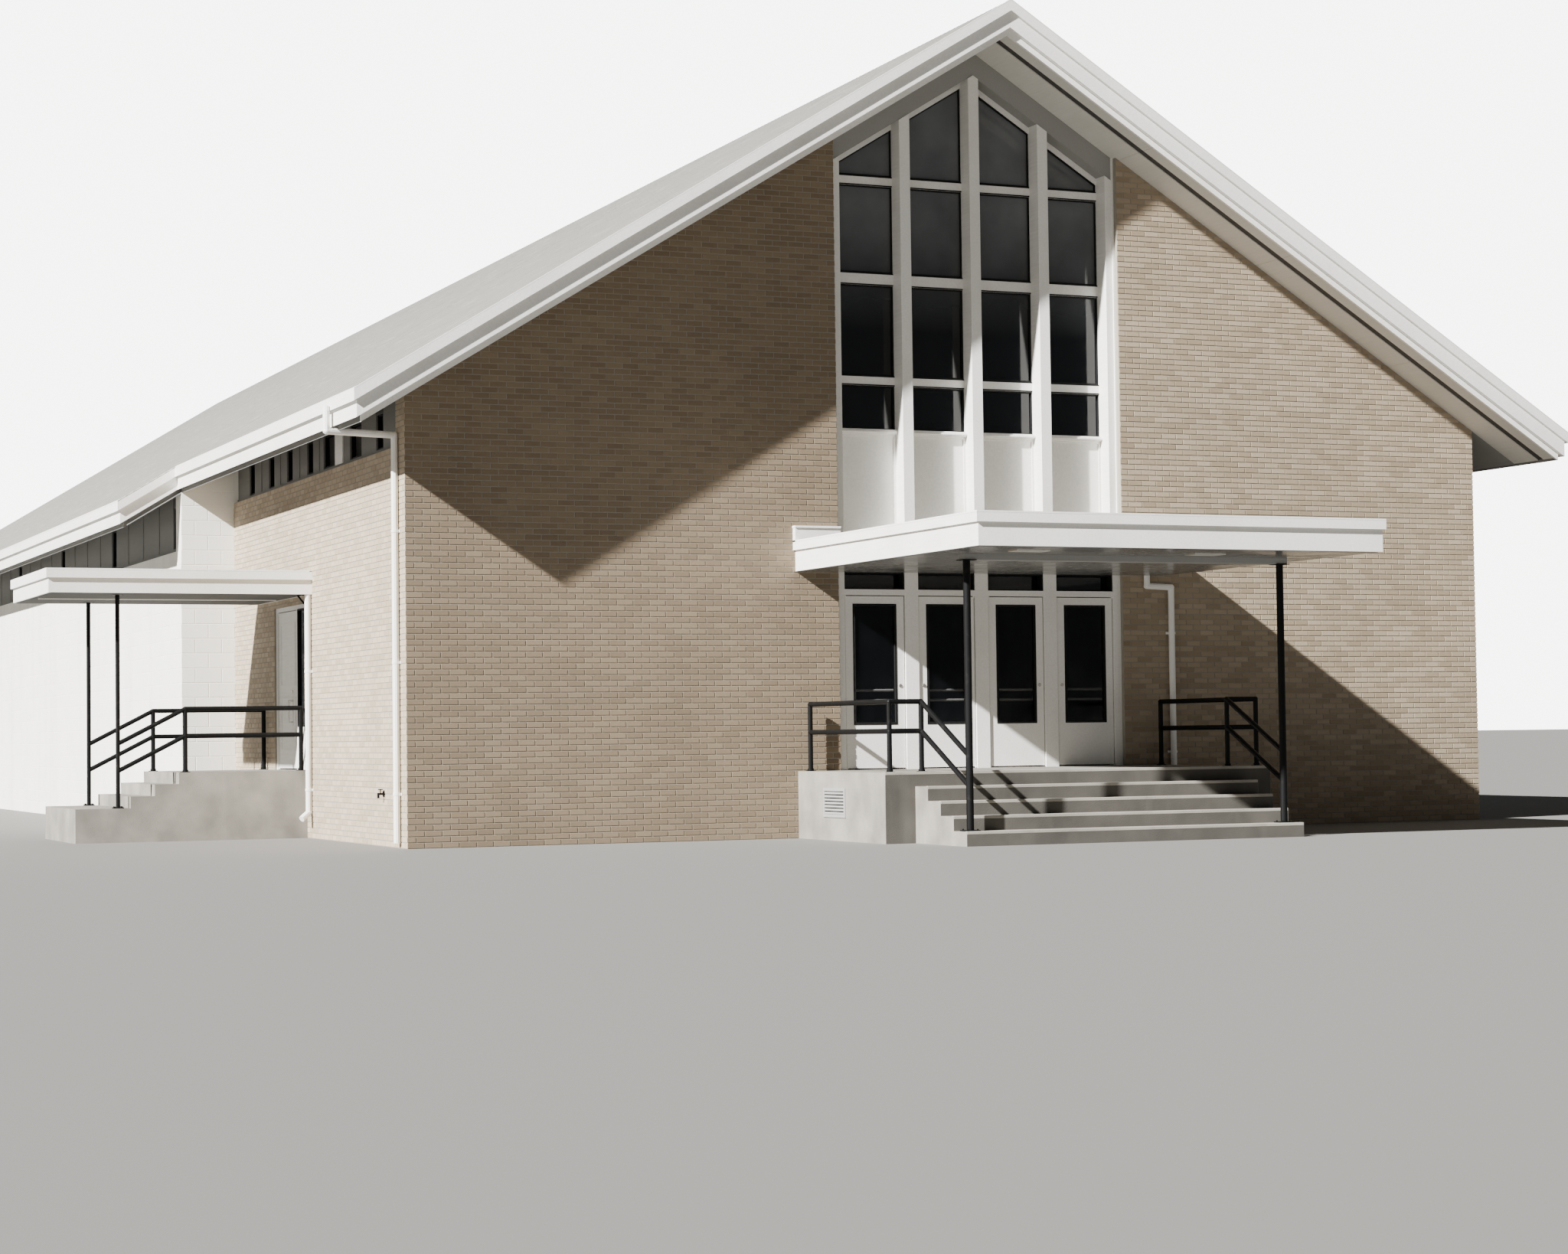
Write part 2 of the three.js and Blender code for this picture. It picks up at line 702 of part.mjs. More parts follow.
function addRainPipes() {
  const offWall = pipeRadius + pipeOffWall;
  const halfFlat = pipeRadius * Math.cos(Math.PI / barSides);
  const eavePipe = -frontEave - halfFlat - joint;
  const wallPipe = -frontHalfWidth - offWall;
  const fasciaFoot = ridgeTop - pitch * frontEave - fasciaDepth;
  place('roof_downspout', pipe([
    [eavePipe, eaveOutletPlace, fasciaFoot + eaveOutletRise],
    [eavePipe, eaveOutletPlace, fasciaFoot - eaveOutletDrop],
    [wallPipe, wallPipePlace, fasciaFoot - wallPipeDrop],
    [wallPipe, wallPipePlace, pipeFoot],
  ], pipeRadius), pipePaint);
  const rightPipe = landingHalfWidth + pipeRadius + canopyPipeGap;
  const outlet = rightPipe - canopyPipeShift;
  place('canopy_downspout', pipe([
    [outlet, -offWall, canopySoffit - joint],
    [outlet, -offWall, canopySoffit - canopyPipeBends[0]],
    [rightPipe, -offWall, canopySoffit - canopyPipeBends[1]],
    [rightPipe, -offWall, pipeFoot],
  ], pipeRadius), pipePaint);
  const [kickX, kickY, kickZ] = spoutKick;
  place('side_downspout', pipe([
    [wallPipe, sidePipePlace, sideCanopySoffit - joint],
    [wallPipe, sidePipePlace, sidePipeFoot],
    [wallPipe - kickX, sidePipePlace - kickY, sidePipeFoot - kickZ],
  ], pipeRadius), pipePaint);
}

addFloor();
addFrontWall();
addSideWalls();
addClerestories();
addGableWindow();
addEntrance();
addFrontDoors();
addSideDoor();
place('roof_left', roofHalf(-1), shingle);
place('roof_right', roofHalf(1), shingle);
place('fascia_left', fascia(-1), whitePaint);
place('fascia_right', fascia(1), whitePaint);
addFrontCanopy();
addFrontSteps();
addFrontRails();
addSidePorch();
addRainPipes();

// The origin is under the middle of the whole building, porches included
const leftmost = -frontHalfWidth - sideCanopyReach;
church.position.set(-(leftmost + naveEave) / 2, -(roofRear - canopyReach) / 2, 0);

const model = new THREE.Group();
model.scale.setScalar(modelScale);
model.add(church);

export default model;
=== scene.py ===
"""Dresses the frame of a brick church of the 1960s, a half-size model, and sets its stage.

Sizes are the building's own, in metres: X runs along the front, Y from the front to the rear, and Z up
from the foot of the front steps. TO_MODEL brings them to the model's place and size.
"""
import math

import bmesh
import bpy
import numpy as np
from bpy.props import FloatProperty, FloatVectorProperty, PointerProperty
from bpy.types import Operator, Panel, PropertyGroup
from mathutils import Matrix, Vector


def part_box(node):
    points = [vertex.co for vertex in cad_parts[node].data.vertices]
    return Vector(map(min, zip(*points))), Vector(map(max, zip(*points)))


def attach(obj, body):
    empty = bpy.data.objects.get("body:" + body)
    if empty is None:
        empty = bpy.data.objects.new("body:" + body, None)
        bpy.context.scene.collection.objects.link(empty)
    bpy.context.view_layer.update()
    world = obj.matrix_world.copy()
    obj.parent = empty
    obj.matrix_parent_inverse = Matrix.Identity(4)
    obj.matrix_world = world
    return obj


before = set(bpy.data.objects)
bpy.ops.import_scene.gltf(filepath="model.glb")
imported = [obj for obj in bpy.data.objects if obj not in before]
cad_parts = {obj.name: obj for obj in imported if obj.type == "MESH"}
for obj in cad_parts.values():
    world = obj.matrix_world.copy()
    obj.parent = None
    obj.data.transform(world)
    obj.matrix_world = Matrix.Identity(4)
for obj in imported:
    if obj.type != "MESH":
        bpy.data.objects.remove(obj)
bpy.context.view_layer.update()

bl_info = {
    "name": "Brick Church",
    "version": (1, 0, 0),
    "blender": (4, 5, 0),
    "location": "View3D > Sidebar > Church",
    "description": "Lays the brickwork, roof and joinery of a brick church on its frame",
    "category": "Object",
}

MODEL_SCALE = 0.5
BUILDING = "building"


def building_place():
    """The matrix from the building's own metres to the model's frame"""
    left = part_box("front_wall_left")[0]
    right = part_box("front_wall_right")[1]
    middle = (left.x + right.x) / 2
    return Matrix.Translation((middle, left.y, 0)) @ Matrix.Scale(MODEL_SCALE, 4)


TO_MODEL = building_place()
TO_BUILDING = TO_MODEL.inverted()


def span(node):
    """The extent of a CAD node in the building's own metres: pairs of x, y and z"""
    low, high = (TO_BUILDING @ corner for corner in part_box(node))
    return list(zip(low, high))


# Driving sizes that no single node gives: how much lower the nave's window band starts, the room under the
# front canopy and from there to its curb, and how far the roof of the front part is drawn in and runs back
NAVE_SILL_DROP = 0.67
CANOPY_HEADROOM = 2.395
CURB_RISE = 0.35
EAVE_STEP = 0.8
FRONT_ROOF_LENGTH = 9.64

# Roof: fall for each unit of width, and thickness down to the soffit
PITCH = 0.614
ROOF_DEPTH = 0.4
SLOPE = math.atan(PITCH)
SLOPE_LENGTH = math.hypot(1, PITCH)

# Main lines of the building, taken from the frame
FRONT_HALF = span("front_wall_right")[0][1]
NAVE_HALF = span("right_nave_wall")[0][1]
BAY_HALF = span("front_wall_right")[0][0]
WALL = span("front_wall_left")[1][1]
NAVE_FRONT = span("right_nave_wall")[1][0]
REAR = span("rear_wall")[1][1]
SIDE_SILL = span("right_wall")[2][1]
NAVE_SILL = SIDE_SILL - NAVE_SILL_DROP
ROOF_FRONT, ROOF_REAR = span("fascia_left")[1]
ROOF_STEP = ROOF_FRONT + FRONT_ROOF_LENGTH
NAVE_EAVE = span("fascia_right")[0][1]
FRONT_EAVE = NAVE_EAVE - EAVE_STEP
RIDGE = span("roof_left")[2][1]
FLOOR = span("front_landing")[2][1]
CANOPY_Y, CANOPY_Z = span("front_canopy")[1:]
CANOPY_SOFFIT = FLOOR + CANOPY_HEADROOM
CURB_FOOT = CANOPY_SOFFIT + CURB_RISE

# How far pieces that meet reach into each other or stay clear: most, thicker ones, and hairline joints
SEAT = 0.001
DEEP_SEAT = 0.002
HAIRLINE = 0.0005

# Sides that stand for a circle: on thin rods, and on the round faces of the locks
ROUND = 12
FINE_ROUND = 24

# Seeded tones that make one brick, block or shingle differ from the next
CELLS = 512
TONES = np.random.default_rng(11).random((CELLS, CELLS))

SIDES = {"left": -1, "right": 1}
FACING = {"front": 0, "left": -90, "rear": 180, "right": 90}


def soffit(distance):
    """Height of the roof's under side at a distance from the ridge line"""
    return RIDGE - ROOF_DEPTH - PITCH * abs(distance)


def under_roof(side):
    """The plane that the roof's under side cuts masonry off with, as a point and a direction"""
    return (0, 0, soffit(0)), (side * PITCH, 0, 1)


def facing(name, distance=0.0, lean=0.0):
    """Turns what stands on y = 0 and faces -y to a side of the building, leaning back by an angle"""
    turn = Matrix.Rotation(math.radians(FACING[name]), 4, "Z")
    return turn @ Matrix.Translation((0, -distance, 0)) @ Matrix.Rotation(-lean, 4, "X")


def mirrored(side, near, far):
    """Two places on one half of the building, with their sign and in rising order"""
    return sorted((side * near, side * far))


def about(middle, half):
    """The ends of a reach of this half length about its middle"""
    return middle - half, middle + half


def within(reach, margin):
    """Both ends of a reach drawn in by a margin, or let out by a negative one"""
    return reach[0] + margin, reach[1] - margin


def halfway(reach):
    """The middle of a reach"""
    return (reach[0] + reach[1]) / 2


def srgb(code):
    """Linear colour from an sRGB hex value"""
    channels = [int(code[i:i + 2], 16) / 255 for i in (1, 3, 5)]
    return [c / 12.92 if c <= 0.04045 else ((c + 0.055) / 1.055) ** 2.4 for c in channels]


# Mesh helpers: every shape is built in the building's own metres


def everything(bm):
    """All the elements of a mesh"""
    return bm.verts[:] + bm.edges[:] + bm.faces[:]


def only_verts(geometry):
    """The vertices among the elements that an operator gives"""
    return [item for item in geometry if isinstance(item, bmesh.types.BMVert)]


def block(bm, x, y, z):
    """Adds a block between pairs of places and gives its vertices"""
    size = [b - a for a, b in (x, y, z)]
    middle = [halfway(reach) for reach in (x, y, z)]
    place = Matrix.Translation(middle) @ Matrix.Diagonal((*size, 1))
    return bmesh.ops.create_cube(bm, size=1, matrix=place)["verts"]


def rod(bm, start, end, radius, sides=ROUND):
    """Adds a round rod with closed ends between two points"""
    start, end = Vector(start), Vector(end)
    run = end - start
    turn = run.to_track_quat("Z", "Y").to_matrix().to_4x4()
    place = Matrix.Translation((start + end) / 2) @ turn
    bmesh.ops.create_cone(
        bm, cap_ends=True, segments=sides, radius1=radius, radius2=radius, depth=run.length, matrix=place
    )


def fall(bm, side):
    """Brings what was made level, at heights above the ridge's top, down to one slope of the roof"""
    shear = Matrix.Identity(4)
    shear[2][0] = -side * PITCH
    shear[2][3] = RIDGE
    bmesh.ops.transform(bm, matrix=shear, verts=bm.verts[:])


def ring(bm, corners, width, y):
    """Adds a closed frame that follows the inside of an outline of x and z, between two depths"""
    face = bm.faces.new([bm.verts.new((x, y[0], z)) for x, z in corners])
    bmesh.ops.recalc_face_normals(bm, faces=[face])
    rim = bmesh.ops.inset_individual(bm, faces=[face], thickness=width, use_even_offset=True)["faces"]
    bmesh.ops.delete(bm, geom=[face], context="FACES_ONLY")
    if rim[0].normal.y > 0:
        bmesh.ops.reverse_faces(bm, faces=rim)
    grown = bmesh.ops.extrude_face_region(bm, geom=rim, use_keep_orig=True)["geom"]
    bmesh.ops.translate(bm, vec=(0, y[1] - y[0], 0), verts=only_verts(grown))
    bmesh.ops.recalc_face_normals(bm, faces=bm.faces[:])


def rectangle(x, z):
    """Corners of an upright rectangle"""
    return [(x[0], z[0]), (x[1], z[0]), (x[1], z[1]), (x[0], z[1])]


def soften(bm, radius):
    """Rounds every sharp edge"""
    edges = [edge for edge in bm.edges if edge.is_manifold and edge.calc_face_angle(0) > 0.5]
    bmesh.ops.bevel(bm, geom=edges, offset=radius, segments=2, profile=0.5, affect="EDGES",
                    material=-1, clamp_overlap=True)


def add_object(name, data):
    """A new object of the scene"""
    made = bpy.data.objects.new(name, data)
    bpy.context.scene.collection.objects.link(made)
    return made


def mesh_object(name, bm):
    """A new object of the scene that holds a copy of a mesh in the making"""
    mesh = bpy.data.meshes.new(name)
    bm.to_mesh(mesh)
    return add_object(name, mesh)


def repeat(bm, *rows):
    """Repeats all that the mesh holds in rows, each a count and a step"""
    unit = mesh_object("unit", bm)
    mesh = unit.data
    for count, step in rows:
        row = unit.modifiers.new("row", "ARRAY")
        row.count = count
        row.use_relative_offset = False
        row.use_constant_offset = True
        row.constant_offset_displace = step
    bm.clear()
    bm.from_object(unit, bpy.context.evaluated_depsgraph_get())
    bpy.data.objects.remove(unit)
    bpy.data.meshes.remove(mesh)


def trim(bm, point, outward):
    """Cuts the mesh off beyond a plane and closes the cut"""
    bmesh.ops.bisect_plane(
        bm, geom=everything(bm), dist=1e-5, plane_co=point, plane_no=outward, clear_outer=True
    )
    open_edges = [edge for edge in bm.edges if edge.is_boundary]
    bmesh.ops.holes_fill(bm, edges=open_edges, sides=0)


def bond(bm, cell, across, up, start=0.0, base=0.0, phase=0.0, planes=()):
    """Fills a stretch of the plane y = 0 with the mesh's unit in running bond

    The unit stands in the cell that begins at x = 0, z = 0. Rows start at base, and joints in the even
    rows at start plus phase cells. Gives a tone for each face, one for each unit.
    """
    length, height = cell
    first_row = 2 * math.floor((up[0] - base) / height / 2)
    pairs = math.ceil((up[1] - base) / height / 2) - first_row // 2
    origin = start + phase * length
    first = math.floor((across[0] - origin) / length) - 1
    count = math.ceil((across[1] - across[0]) / length) + 2
    second = bmesh.ops.duplicate(bm, geom=everything(bm))["geom"]
    bmesh.ops.translate(bm, vec=(length / 2, 0, height), verts=only_verts(second))
    bmesh.ops.translate(bm, vec=(origin + first * length, 0, base + first_row * height), verts=bm.verts[:])
    repeat(bm, (count, (length, 0, 0)), (pairs, (0, 0, 2 * height)))
    edges = [
        ((across[0], 0, 0), (-1, 0, 0)), ((across[1], 0, 0), (1, 0, 0)),
        ((0, 0, up[0]), (0, 0, -1)), ((0, 0, up[1]), (0, 0, 1)),
    ]
    for point, outward in (*edges, *planes):
        trim(bm, point, outward)
    middles = np.array([face.calc_center_bounds() for face in bm.faces])
    rows = np.floor((middles[:, 2] - base) / height).astype(int)
    shift = origin + (rows % 2) * length / 2
    columns = np.floor((middles[:, 0] - shift) / length).astype(int)
    return TONES[rows % CELLS, columns % CELLS]


MADE = {}


def piece(bm, name, finish, body=BUILDING, place=None, tones=None):
    """Brings a mesh to the model's frame as a named piece that rides on a body

    Tones are values for its faces, kept where the finish reads them.
    """
    if place is not None:
        bm.transform(place)
    bm.transform(TO_MODEL)
    made = mesh_object(name, bm)
    bm.free()
    made.data.materials.append(MADE[finish])
    if tones is not None:
        layer = made.data.attributes.new("tone", "FLOAT", "FACE")
        layer.data.foreach_set("value", np.asarray(tones, np.float32))
    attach(made, body)


def block_piece(name, finish, slot, *extents, rounding=0.0, place=None):
    """Makes a piece of blocks, each given by its reach in x, y and z"""
    bm = bmesh.new()
    for extent in extents:
        block(bm, *extent)
    if rounding:
        soften(bm, rounding)
    piece(bm, name, finish, place=place)


def frame_piece(name, finish, slot, *outlines, body=BUILDING, place=None):
    """Makes a piece of closed frames, each given by its corners, its width and its two depths"""
    bm = bmesh.new()
    for outline in outlines:
        ring(bm, *outline)
    piece(bm, name, finish, body, place)


# Materials


def add_node(tree, kind, values=None, links=None, **settings):
    """Adds a node with its settings, socket values and links"""
    node = tree.nodes.new(kind)
    for name, value in settings.items():
        setattr(node, name, value)
    for socket, value in (values or {}).items():
        node.inputs[socket].default_value = value
    for socket, source in (links or {}).items():
        tree.links.new(source, node.inputs[socket])
    return node


def grain(millimetres):
    """Texture scale of a pattern whose grains have this size on the building, in millimetres"""
    return 1000 / (millimetres * MODEL_SCALE)


class Finish:
    """A material in the making: its tree, its shader and patterns that follow the Object coordinates"""

    def __init__(self, name, roughness, metallic=0.0, ior=1.5):
        self.material = bpy.data.materials.new(name)
        self.material.use_nodes = True
        self.tree = self.material.node_tree
        self.shader = self.tree.nodes["Principled BSDF"]
        for socket, value in (("Roughness", roughness), ("Metallic", metallic), ("IOR", ior)):
            self.shader.inputs[socket].default_value = value
        self.place = add_node(self.tree, "ShaderNodeTexCoord").outputs["Object"]

    def tone(self):
        """The tone that each face carries"""
        return add_node(self.tree, "ShaderNodeAttribute", attribute_name="tone").outputs["Fac"]

    def mottle(self, millimetres, detail=3.0, roughness=0.5, stretch=None):
        """Soft noise whose patches have this size on the building, drawn out by a stretch"""
        place = self.place
        if stretch is not None:
            mapping = add_node(self.tree, "ShaderNodeMapping", {"Scale": stretch}, {"Vector": place})
            place = mapping.outputs["Vector"]
        values = {"Scale": grain(millimetres), "Detail": detail, "Roughness": roughness}
        return add_node(self.tree, "ShaderNodeTexNoise", values, {"Vector": place}).outputs["Fac"]

    def cells(self, millimetres):
        """A node of round cells of this size on the building"""
        return add_node(self.tree, "ShaderNodeTexVoronoi", {"Scale": grain(millimetres)},
                        {"Vector": self.place})

    def ramp(self, source, stops):
        """Colours along a value: pairs of a place and a colour"""
        node = add_node(self.tree, "ShaderNodeValToRGB", links={"Fac": source})
        elements = node.color_ramp.elements
        while len(elements) < len(stops):
            elements.new(0.5)
        for element, (position, colour) in zip(elements, stops):
            element.position = position
            element.color = (*colour, 1)
        return node.outputs["Color"]

    def band(self, source, low, high, bottom=0.0, top=1.0):
        """Maps a value between two limits to two others, and keeps it between them"""
        limits = {"From Min": low, "From Max": high, "To Min": bottom, "To Max": top}
        return add_node(self.tree, "ShaderNodeMapRange", limits, {"Value": source}).outputs["Result"]

    def blend(self, factor, first, second, mode="MIX"):
        """Mixes two colours, given as values or sockets, by a socket from 0 to 1"""
        node = add_node(self.tree, "ShaderNodeMix", data_type="RGBA", blend_type=mode)
        inputs = [node.inputs[0], node.inputs[6], node.inputs[7]]
        for socket, value in zip(inputs, (factor, first, second)):
            if isinstance(value, bpy.types.NodeSocket):
                self.tree.links.new(value, socket)
            else:
                socket.default_value = (*value, 1)
        return node.outputs[2]

    def wear(self, coat, under, pattern, limits, amount, mode="MIX"):
        """Lets another colour show where a pattern lies high between two limits, up to an amount"""
        return self.blend(self.band(pattern, *limits, 0.0, amount), coat, under, mode)

    def paint(self, colour):
        """Lets a socket set the base colour"""
        self.tree.links.new(colour, self.shader.inputs["Base Color"])

    def shine(self, roughness):
        """Lets a socket set the roughness"""
        self.tree.links.new(roughness, self.shader.inputs["Roughness"])

    def bump(self, height, millimetres, strength=1.0):
        """Lets a height between 0 and 1 stand for this many millimetres of relief on the building"""
        values = {"Strength": strength, "Distance": millimetres * MODEL_SCALE / 1000}
        relief = add_node(self.tree, "ShaderNodeBump", values, {"Height": height})
        self.tree.links.new(relief.outputs["Normal"], self.shader.inputs["Normal"])


def clouded(name, roughness, codes, patch, fine, relief, ior=1.5):
    """An even material that clouds between two colours, with a fine relief: sizes in millimetres"""
    finish = Finish(name, roughness, ior=ior)
    finish.paint(finish.blend(finish.mottle(patch), *map(srgb, codes)))
    finish.bump(finish.mottle(fine), relief)
    return finish.material


def fired_brick(colours):
    """Wire-cut clay brick, fired buff: each brick its own tone, with sandy grain and a dry, matt face"""
    finish = Finish("buff_brick_fired", 0.9)
    stops = [(0.0, colours.brick_dark), (0.45, colours.brick), (1.0, colours.brick_light)]
    body = finish.ramp(finish.tone(), stops)
    sand = finish.mottle(9, 5.0, 0.7)
    grained = finish.wear(body, colours.brick_dark, sand, (0.3, 0.7), 0.3)
    weather = finish.mottle(1400, 2.0)
    dust_and_reflection = (0.35, 0.35, 0.35)
    finish.paint(finish.wear(grained, dust_and_reflection, weather, (0.35, 0.75), 0.18, "MULTIPLY"))
    finish.bump(sand, 3.0)
    return finish.material


def mortar(colours):
    """Cement and sand mortar, struck flush: grey, grainy and fully matt"""
    finish = Finish("mortar_struck", 0.95)
    sand = finish.mottle(6, 4.0)
    finish.paint(finish.blend(sand, colours.mortar, srgb("#8d877b")))
    finish.bump(sand, 1.5)
    return finish.material


def painted_block(colours):
    """Concrete block under masonry paint: the block's pores still show, with faint rain streaks"""
    finish = Finish("concrete_block_painted", 0.8)
    coat = finish.wear(colours.masonry_paint, srgb("#d5d1c5"), finish.tone(), (0, 1), 0.2)
    streaks = finish.mottle(500, stretch=(1, 1, 0.12))
    finish.paint(finish.wear(coat, srgb("#aaa598"), streaks, (0.5, 0.8), 0.22))
    finish.bump(finish.mottle(14, 6.0, 0.65), 2.0)
    return finish.material


def painted_boards(name, coat, worn, gloss=0.5):
    """Sawn boards under oil paint: brush marks and grain run along them, with a soft gloss"""
    finish = Finish(name, gloss)
    brush = finish.mottle(25, 4.0, stretch=(1, 0.06, 1))
    patches = finish.mottle(700, 4.0)
    brushed = finish.wear(coat, worn, brush, (0.35, 0.75), 0.25)
    finish.paint(finish.wear(brushed, worn, patches, (0.5, 0.8), 0.3))
    finish.bump(brush, 1.0, 0.6)
    return finish.material


def deck_felt():
    """Bitumen felt on the roof deck: near black and dull, seen only in the slots between boards"""
    return clouded("bitumen_felt", 0.85, ("#2b2a28", "#45433f"), 60, 20, 1.5)


def rubber_gasket():
    """Rubber gasket round a pane: black and matt, with a fine dusty bloom"""
    return clouded("rubber_extruded", 0.8, ("#0d0d0d", "#1a1a19"), 30, 5, 0.3, ior=1.3)


def frosted_lens():
    """Frosted glass lens of a lamp: milky, even and softly shining"""
    return clouded("glass_frosted", 0.35, ("#b9b7b0", "#a3a198"), 40, 10, 0.6)


def gloss_panel(colours):
    """Flat cement sheets under enamel: smooth and glossy, so they mirror at a low angle"""
    finish = Finish("cement_sheet_enamelled", 0.2)
    finish.paint(finish.blend(finish.mottle(900), colours.soffit_enamel, srgb("#646360")))
    finish.shine(finish.band(finish.mottle(300, 4.0), 0.3, 0.7, 0.14, 0.3))
    finish.bump(finish.mottle(500, 1.0), 1.5, 0.4)
    return finish.material


def mineral_shingle(colours):
    """Asphalt shingle faced with crushed stone: light grey, speckled, each tab a shade of its own"""
    finish = Finish("asphalt_shingle_mineral", 0.95)
    stops = [(0.0, srgb("#7f7d77")), (0.2, colours.shingle), (0.85, colours.shingle), (1.0, srgb("#98968f"))]
    body = finish.ramp(finish.tone(), stops)
    grit = finish.mottle(7, 5.0, 0.75)
    speckled = finish.wear(body, srgb("#77756f"), grit, (0.35, 0.65), 0.4)
    weather = finish.mottle(1800, stretch=(0.4, 1, 0.4))
    finish.paint(finish.wear(speckled, srgb("#8a8883"), weather, (0.45, 0.8), 0.25))
    finish.bump(grit, 2.0)
    return finish.material


def cast_concrete(name, body, cloud):
    """Concrete cast in boards and floated: pale, mottled, with small air holes and a dusty, matt face"""
    finish = Finish(name, 0.85)
    mottled = finish.wear(body, cloud, finish.mottle(450, 5.0), (0.3, 0.7), 1.0)
    holes = finish.band(finish.cells(55).outputs["Distance"], 0.03, 0.1)
    pitted = finish.blend(holes, srgb("#57544d"), mottled)
    streaks = finish.mottle(220, stretch=(1, 1, 0.15))
    finish.paint(finish.wear(pitted, srgb("#625f57"), streaks, (0.55, 0.8), 0.35))
    finish.bump(finish.mottle(12, 5.0), 2.0)
    return finish.material


def sheet_glass(name, colours, opacity, reflection_band=None):
    """Drawn sheet glass over a dark hall: near black, glossy, with the slight waviness of drawing

    The band is a pair of heights in the model: a mottled, painted reflection of sky and trees lightens
    the glass from the lower to the upper one.
    """
    finish = Finish(name, 0.06, ior=1.52)
    finish.shader.inputs["Base Color"].default_value = (*colours.glass, 1)
    finish.shader.inputs["Alpha"].default_value = opacity
    if reflection_band is not None:
        parts = add_node(finish.tree, "ShaderNodeSeparateXYZ", links={"Vector": finish.place})
        # Painted reflection: mottled grey that stands for sky and trees mirrored in the upper panes
        dust_and_reflection = finish.blend(finish.mottle(900, 5.0), srgb("#3b3d3f"), srgb("#7b7d7f"))
        finish.paint(finish.blend(finish.band(parts.outputs["Z"], *reflection_band), colours.glass, dust_and_reflection))
    finish.bump(finish.mottle(400, 1.0), 1.2, 0.5)
    finish.shine(finish.band(finish.mottle(250, 4.0), 0.4, 0.7, 0.04, 0.14))
    return finish.material


def black_enamel(colours):
    """Steel pipe under brushed black enamel: dark with a soft shine and a faint orange-peel"""
    finish = Finish("steel_pipe_enamelled", 0.5, ior=1.2)
    finish.paint(finish.wear(colours.iron, srgb("#2c2926"), finish.mottle(90, 5.0), (0.6, 0.75), 0.3))
    finish.bump(finish.mottle(8), 0.5)
    return finish.material


def painted_sheet(colours):
    """Galvanised sheet under white paint: smooth, with drips and a dull shine"""
    finish = Finish("sheet_metal_painted", 0.45)
    drips = finish.mottle(120, stretch=(1, 1, 0.1))
    finish.paint(finish.wear(colours.white_paint, srgb("#bdb9ae"), drips, (0.5, 0.8), 0.3))
    finish.bump(finish.mottle(30), 0.6)
    return finish.material


def roof_gravel():
    """Washed gravel on a flat roof: loose stones of pale and dark grey"""
    finish = Finish("gravel_washed", 0.9)
    stones = finish.cells(28)
    shade = add_node(finish.tree, "ShaderNodeSeparateColor", links={"Color": stones.outputs["Color"]})
    stops = [(0.0, srgb("#45423c")), (0.5, srgb("#67635b")), (1.0, srgb("#8b867b"))]
    finish.paint(finish.ramp(shade.outputs["Red"], stops))
    finish.bump(stones.outputs["Distance"], -14.0)
    return finish.material


def nickel():
    """Brushed nickel-plated brass: pale metal with fine brush lines and a soft, broad shine"""
    finish = Finish("brass_nickel_plated", 0.3, metallic=1.0)
    brush = finish.mottle(6, stretch=(0.05, 1, 1))
    finish.paint(finish.blend(brush, srgb("#b9b6ae"), srgb("#dad7cf")))
    finish.shine(finish.band(brush, 0.3, 0.7, 0.25, 0.45))
    return finish.material


# Heights in the model between which a painted reflection of sky and trees lightens the tall window's glass
REFLECTION_HEIGHTS = (3.1, 3.9)


def make_materials(colours):
    """Makes each finish once and keeps it under its plain name"""
    MADE.update({
        "brick": fired_brick(colours),
        "mortar": mortar(colours),
        "block": painted_block(colours),
        "trim": painted_boards("softwood_trim_painted", colours.white_paint, srgb("#c3bfb3")),
        "panel": painted_boards("plywood_panel_painted", colours.panel_paint, srgb("#82817d"), 0.6),
        "siding": painted_boards("plywood_siding_painted", colours.siding_paint, srgb("#605f5b"), 0.7),
        # A dark grey that stands in as painted shade under the side canopy
        "dim": painted_boards("plywood_soffit_painted_shade", srgb("#4a4b48"), srgb("#3c3d3a"), 0.9),
        "deck": deck_felt(),
        "soffit": painted_boards("plywood_soffit_painted", colours.soffit_paint, srgb("#b3b0a6"), 0.55),
        "gloss": gloss_panel(colours),
        "gasket": rubber_gasket(),
        "lens": frosted_lens(),
        "shingle": mineral_shingle(colours),
        "concrete": cast_concrete("concrete_cast", colours.concrete, srgb("#6b675f")),
        # Lighter than the other concrete: a painted highlight for the light that the rounded noses catch
        "nosing": cast_concrete("concrete_nosing_painted_highlight", srgb("#a09b90"), srgb("#8c877c")),
        # Darker than the other concrete: painted shade for the shade under the nosings on undercut risers
        "riser": cast_concrete("concrete_riser_painted_shade", srgb("#524e47"), srgb("#413e38")),
        "glass": sheet_glass("sheet_glass_drawn", colours, 0.93),
        # The tall window's glass takes a painted reflection towards its top
        "tall_glass": sheet_glass("sheet_glass_painted_reflection", colours, 0.96, REFLECTION_HEIGHTS),
        "door_glass": sheet_glass("sheet_glass_clear", colours, 0.45),
        "iron": black_enamel(colours),
        "sheet": painted_sheet(colours),
        "gravel": roof_gravel(),
        "nickel": nickel(),
    })


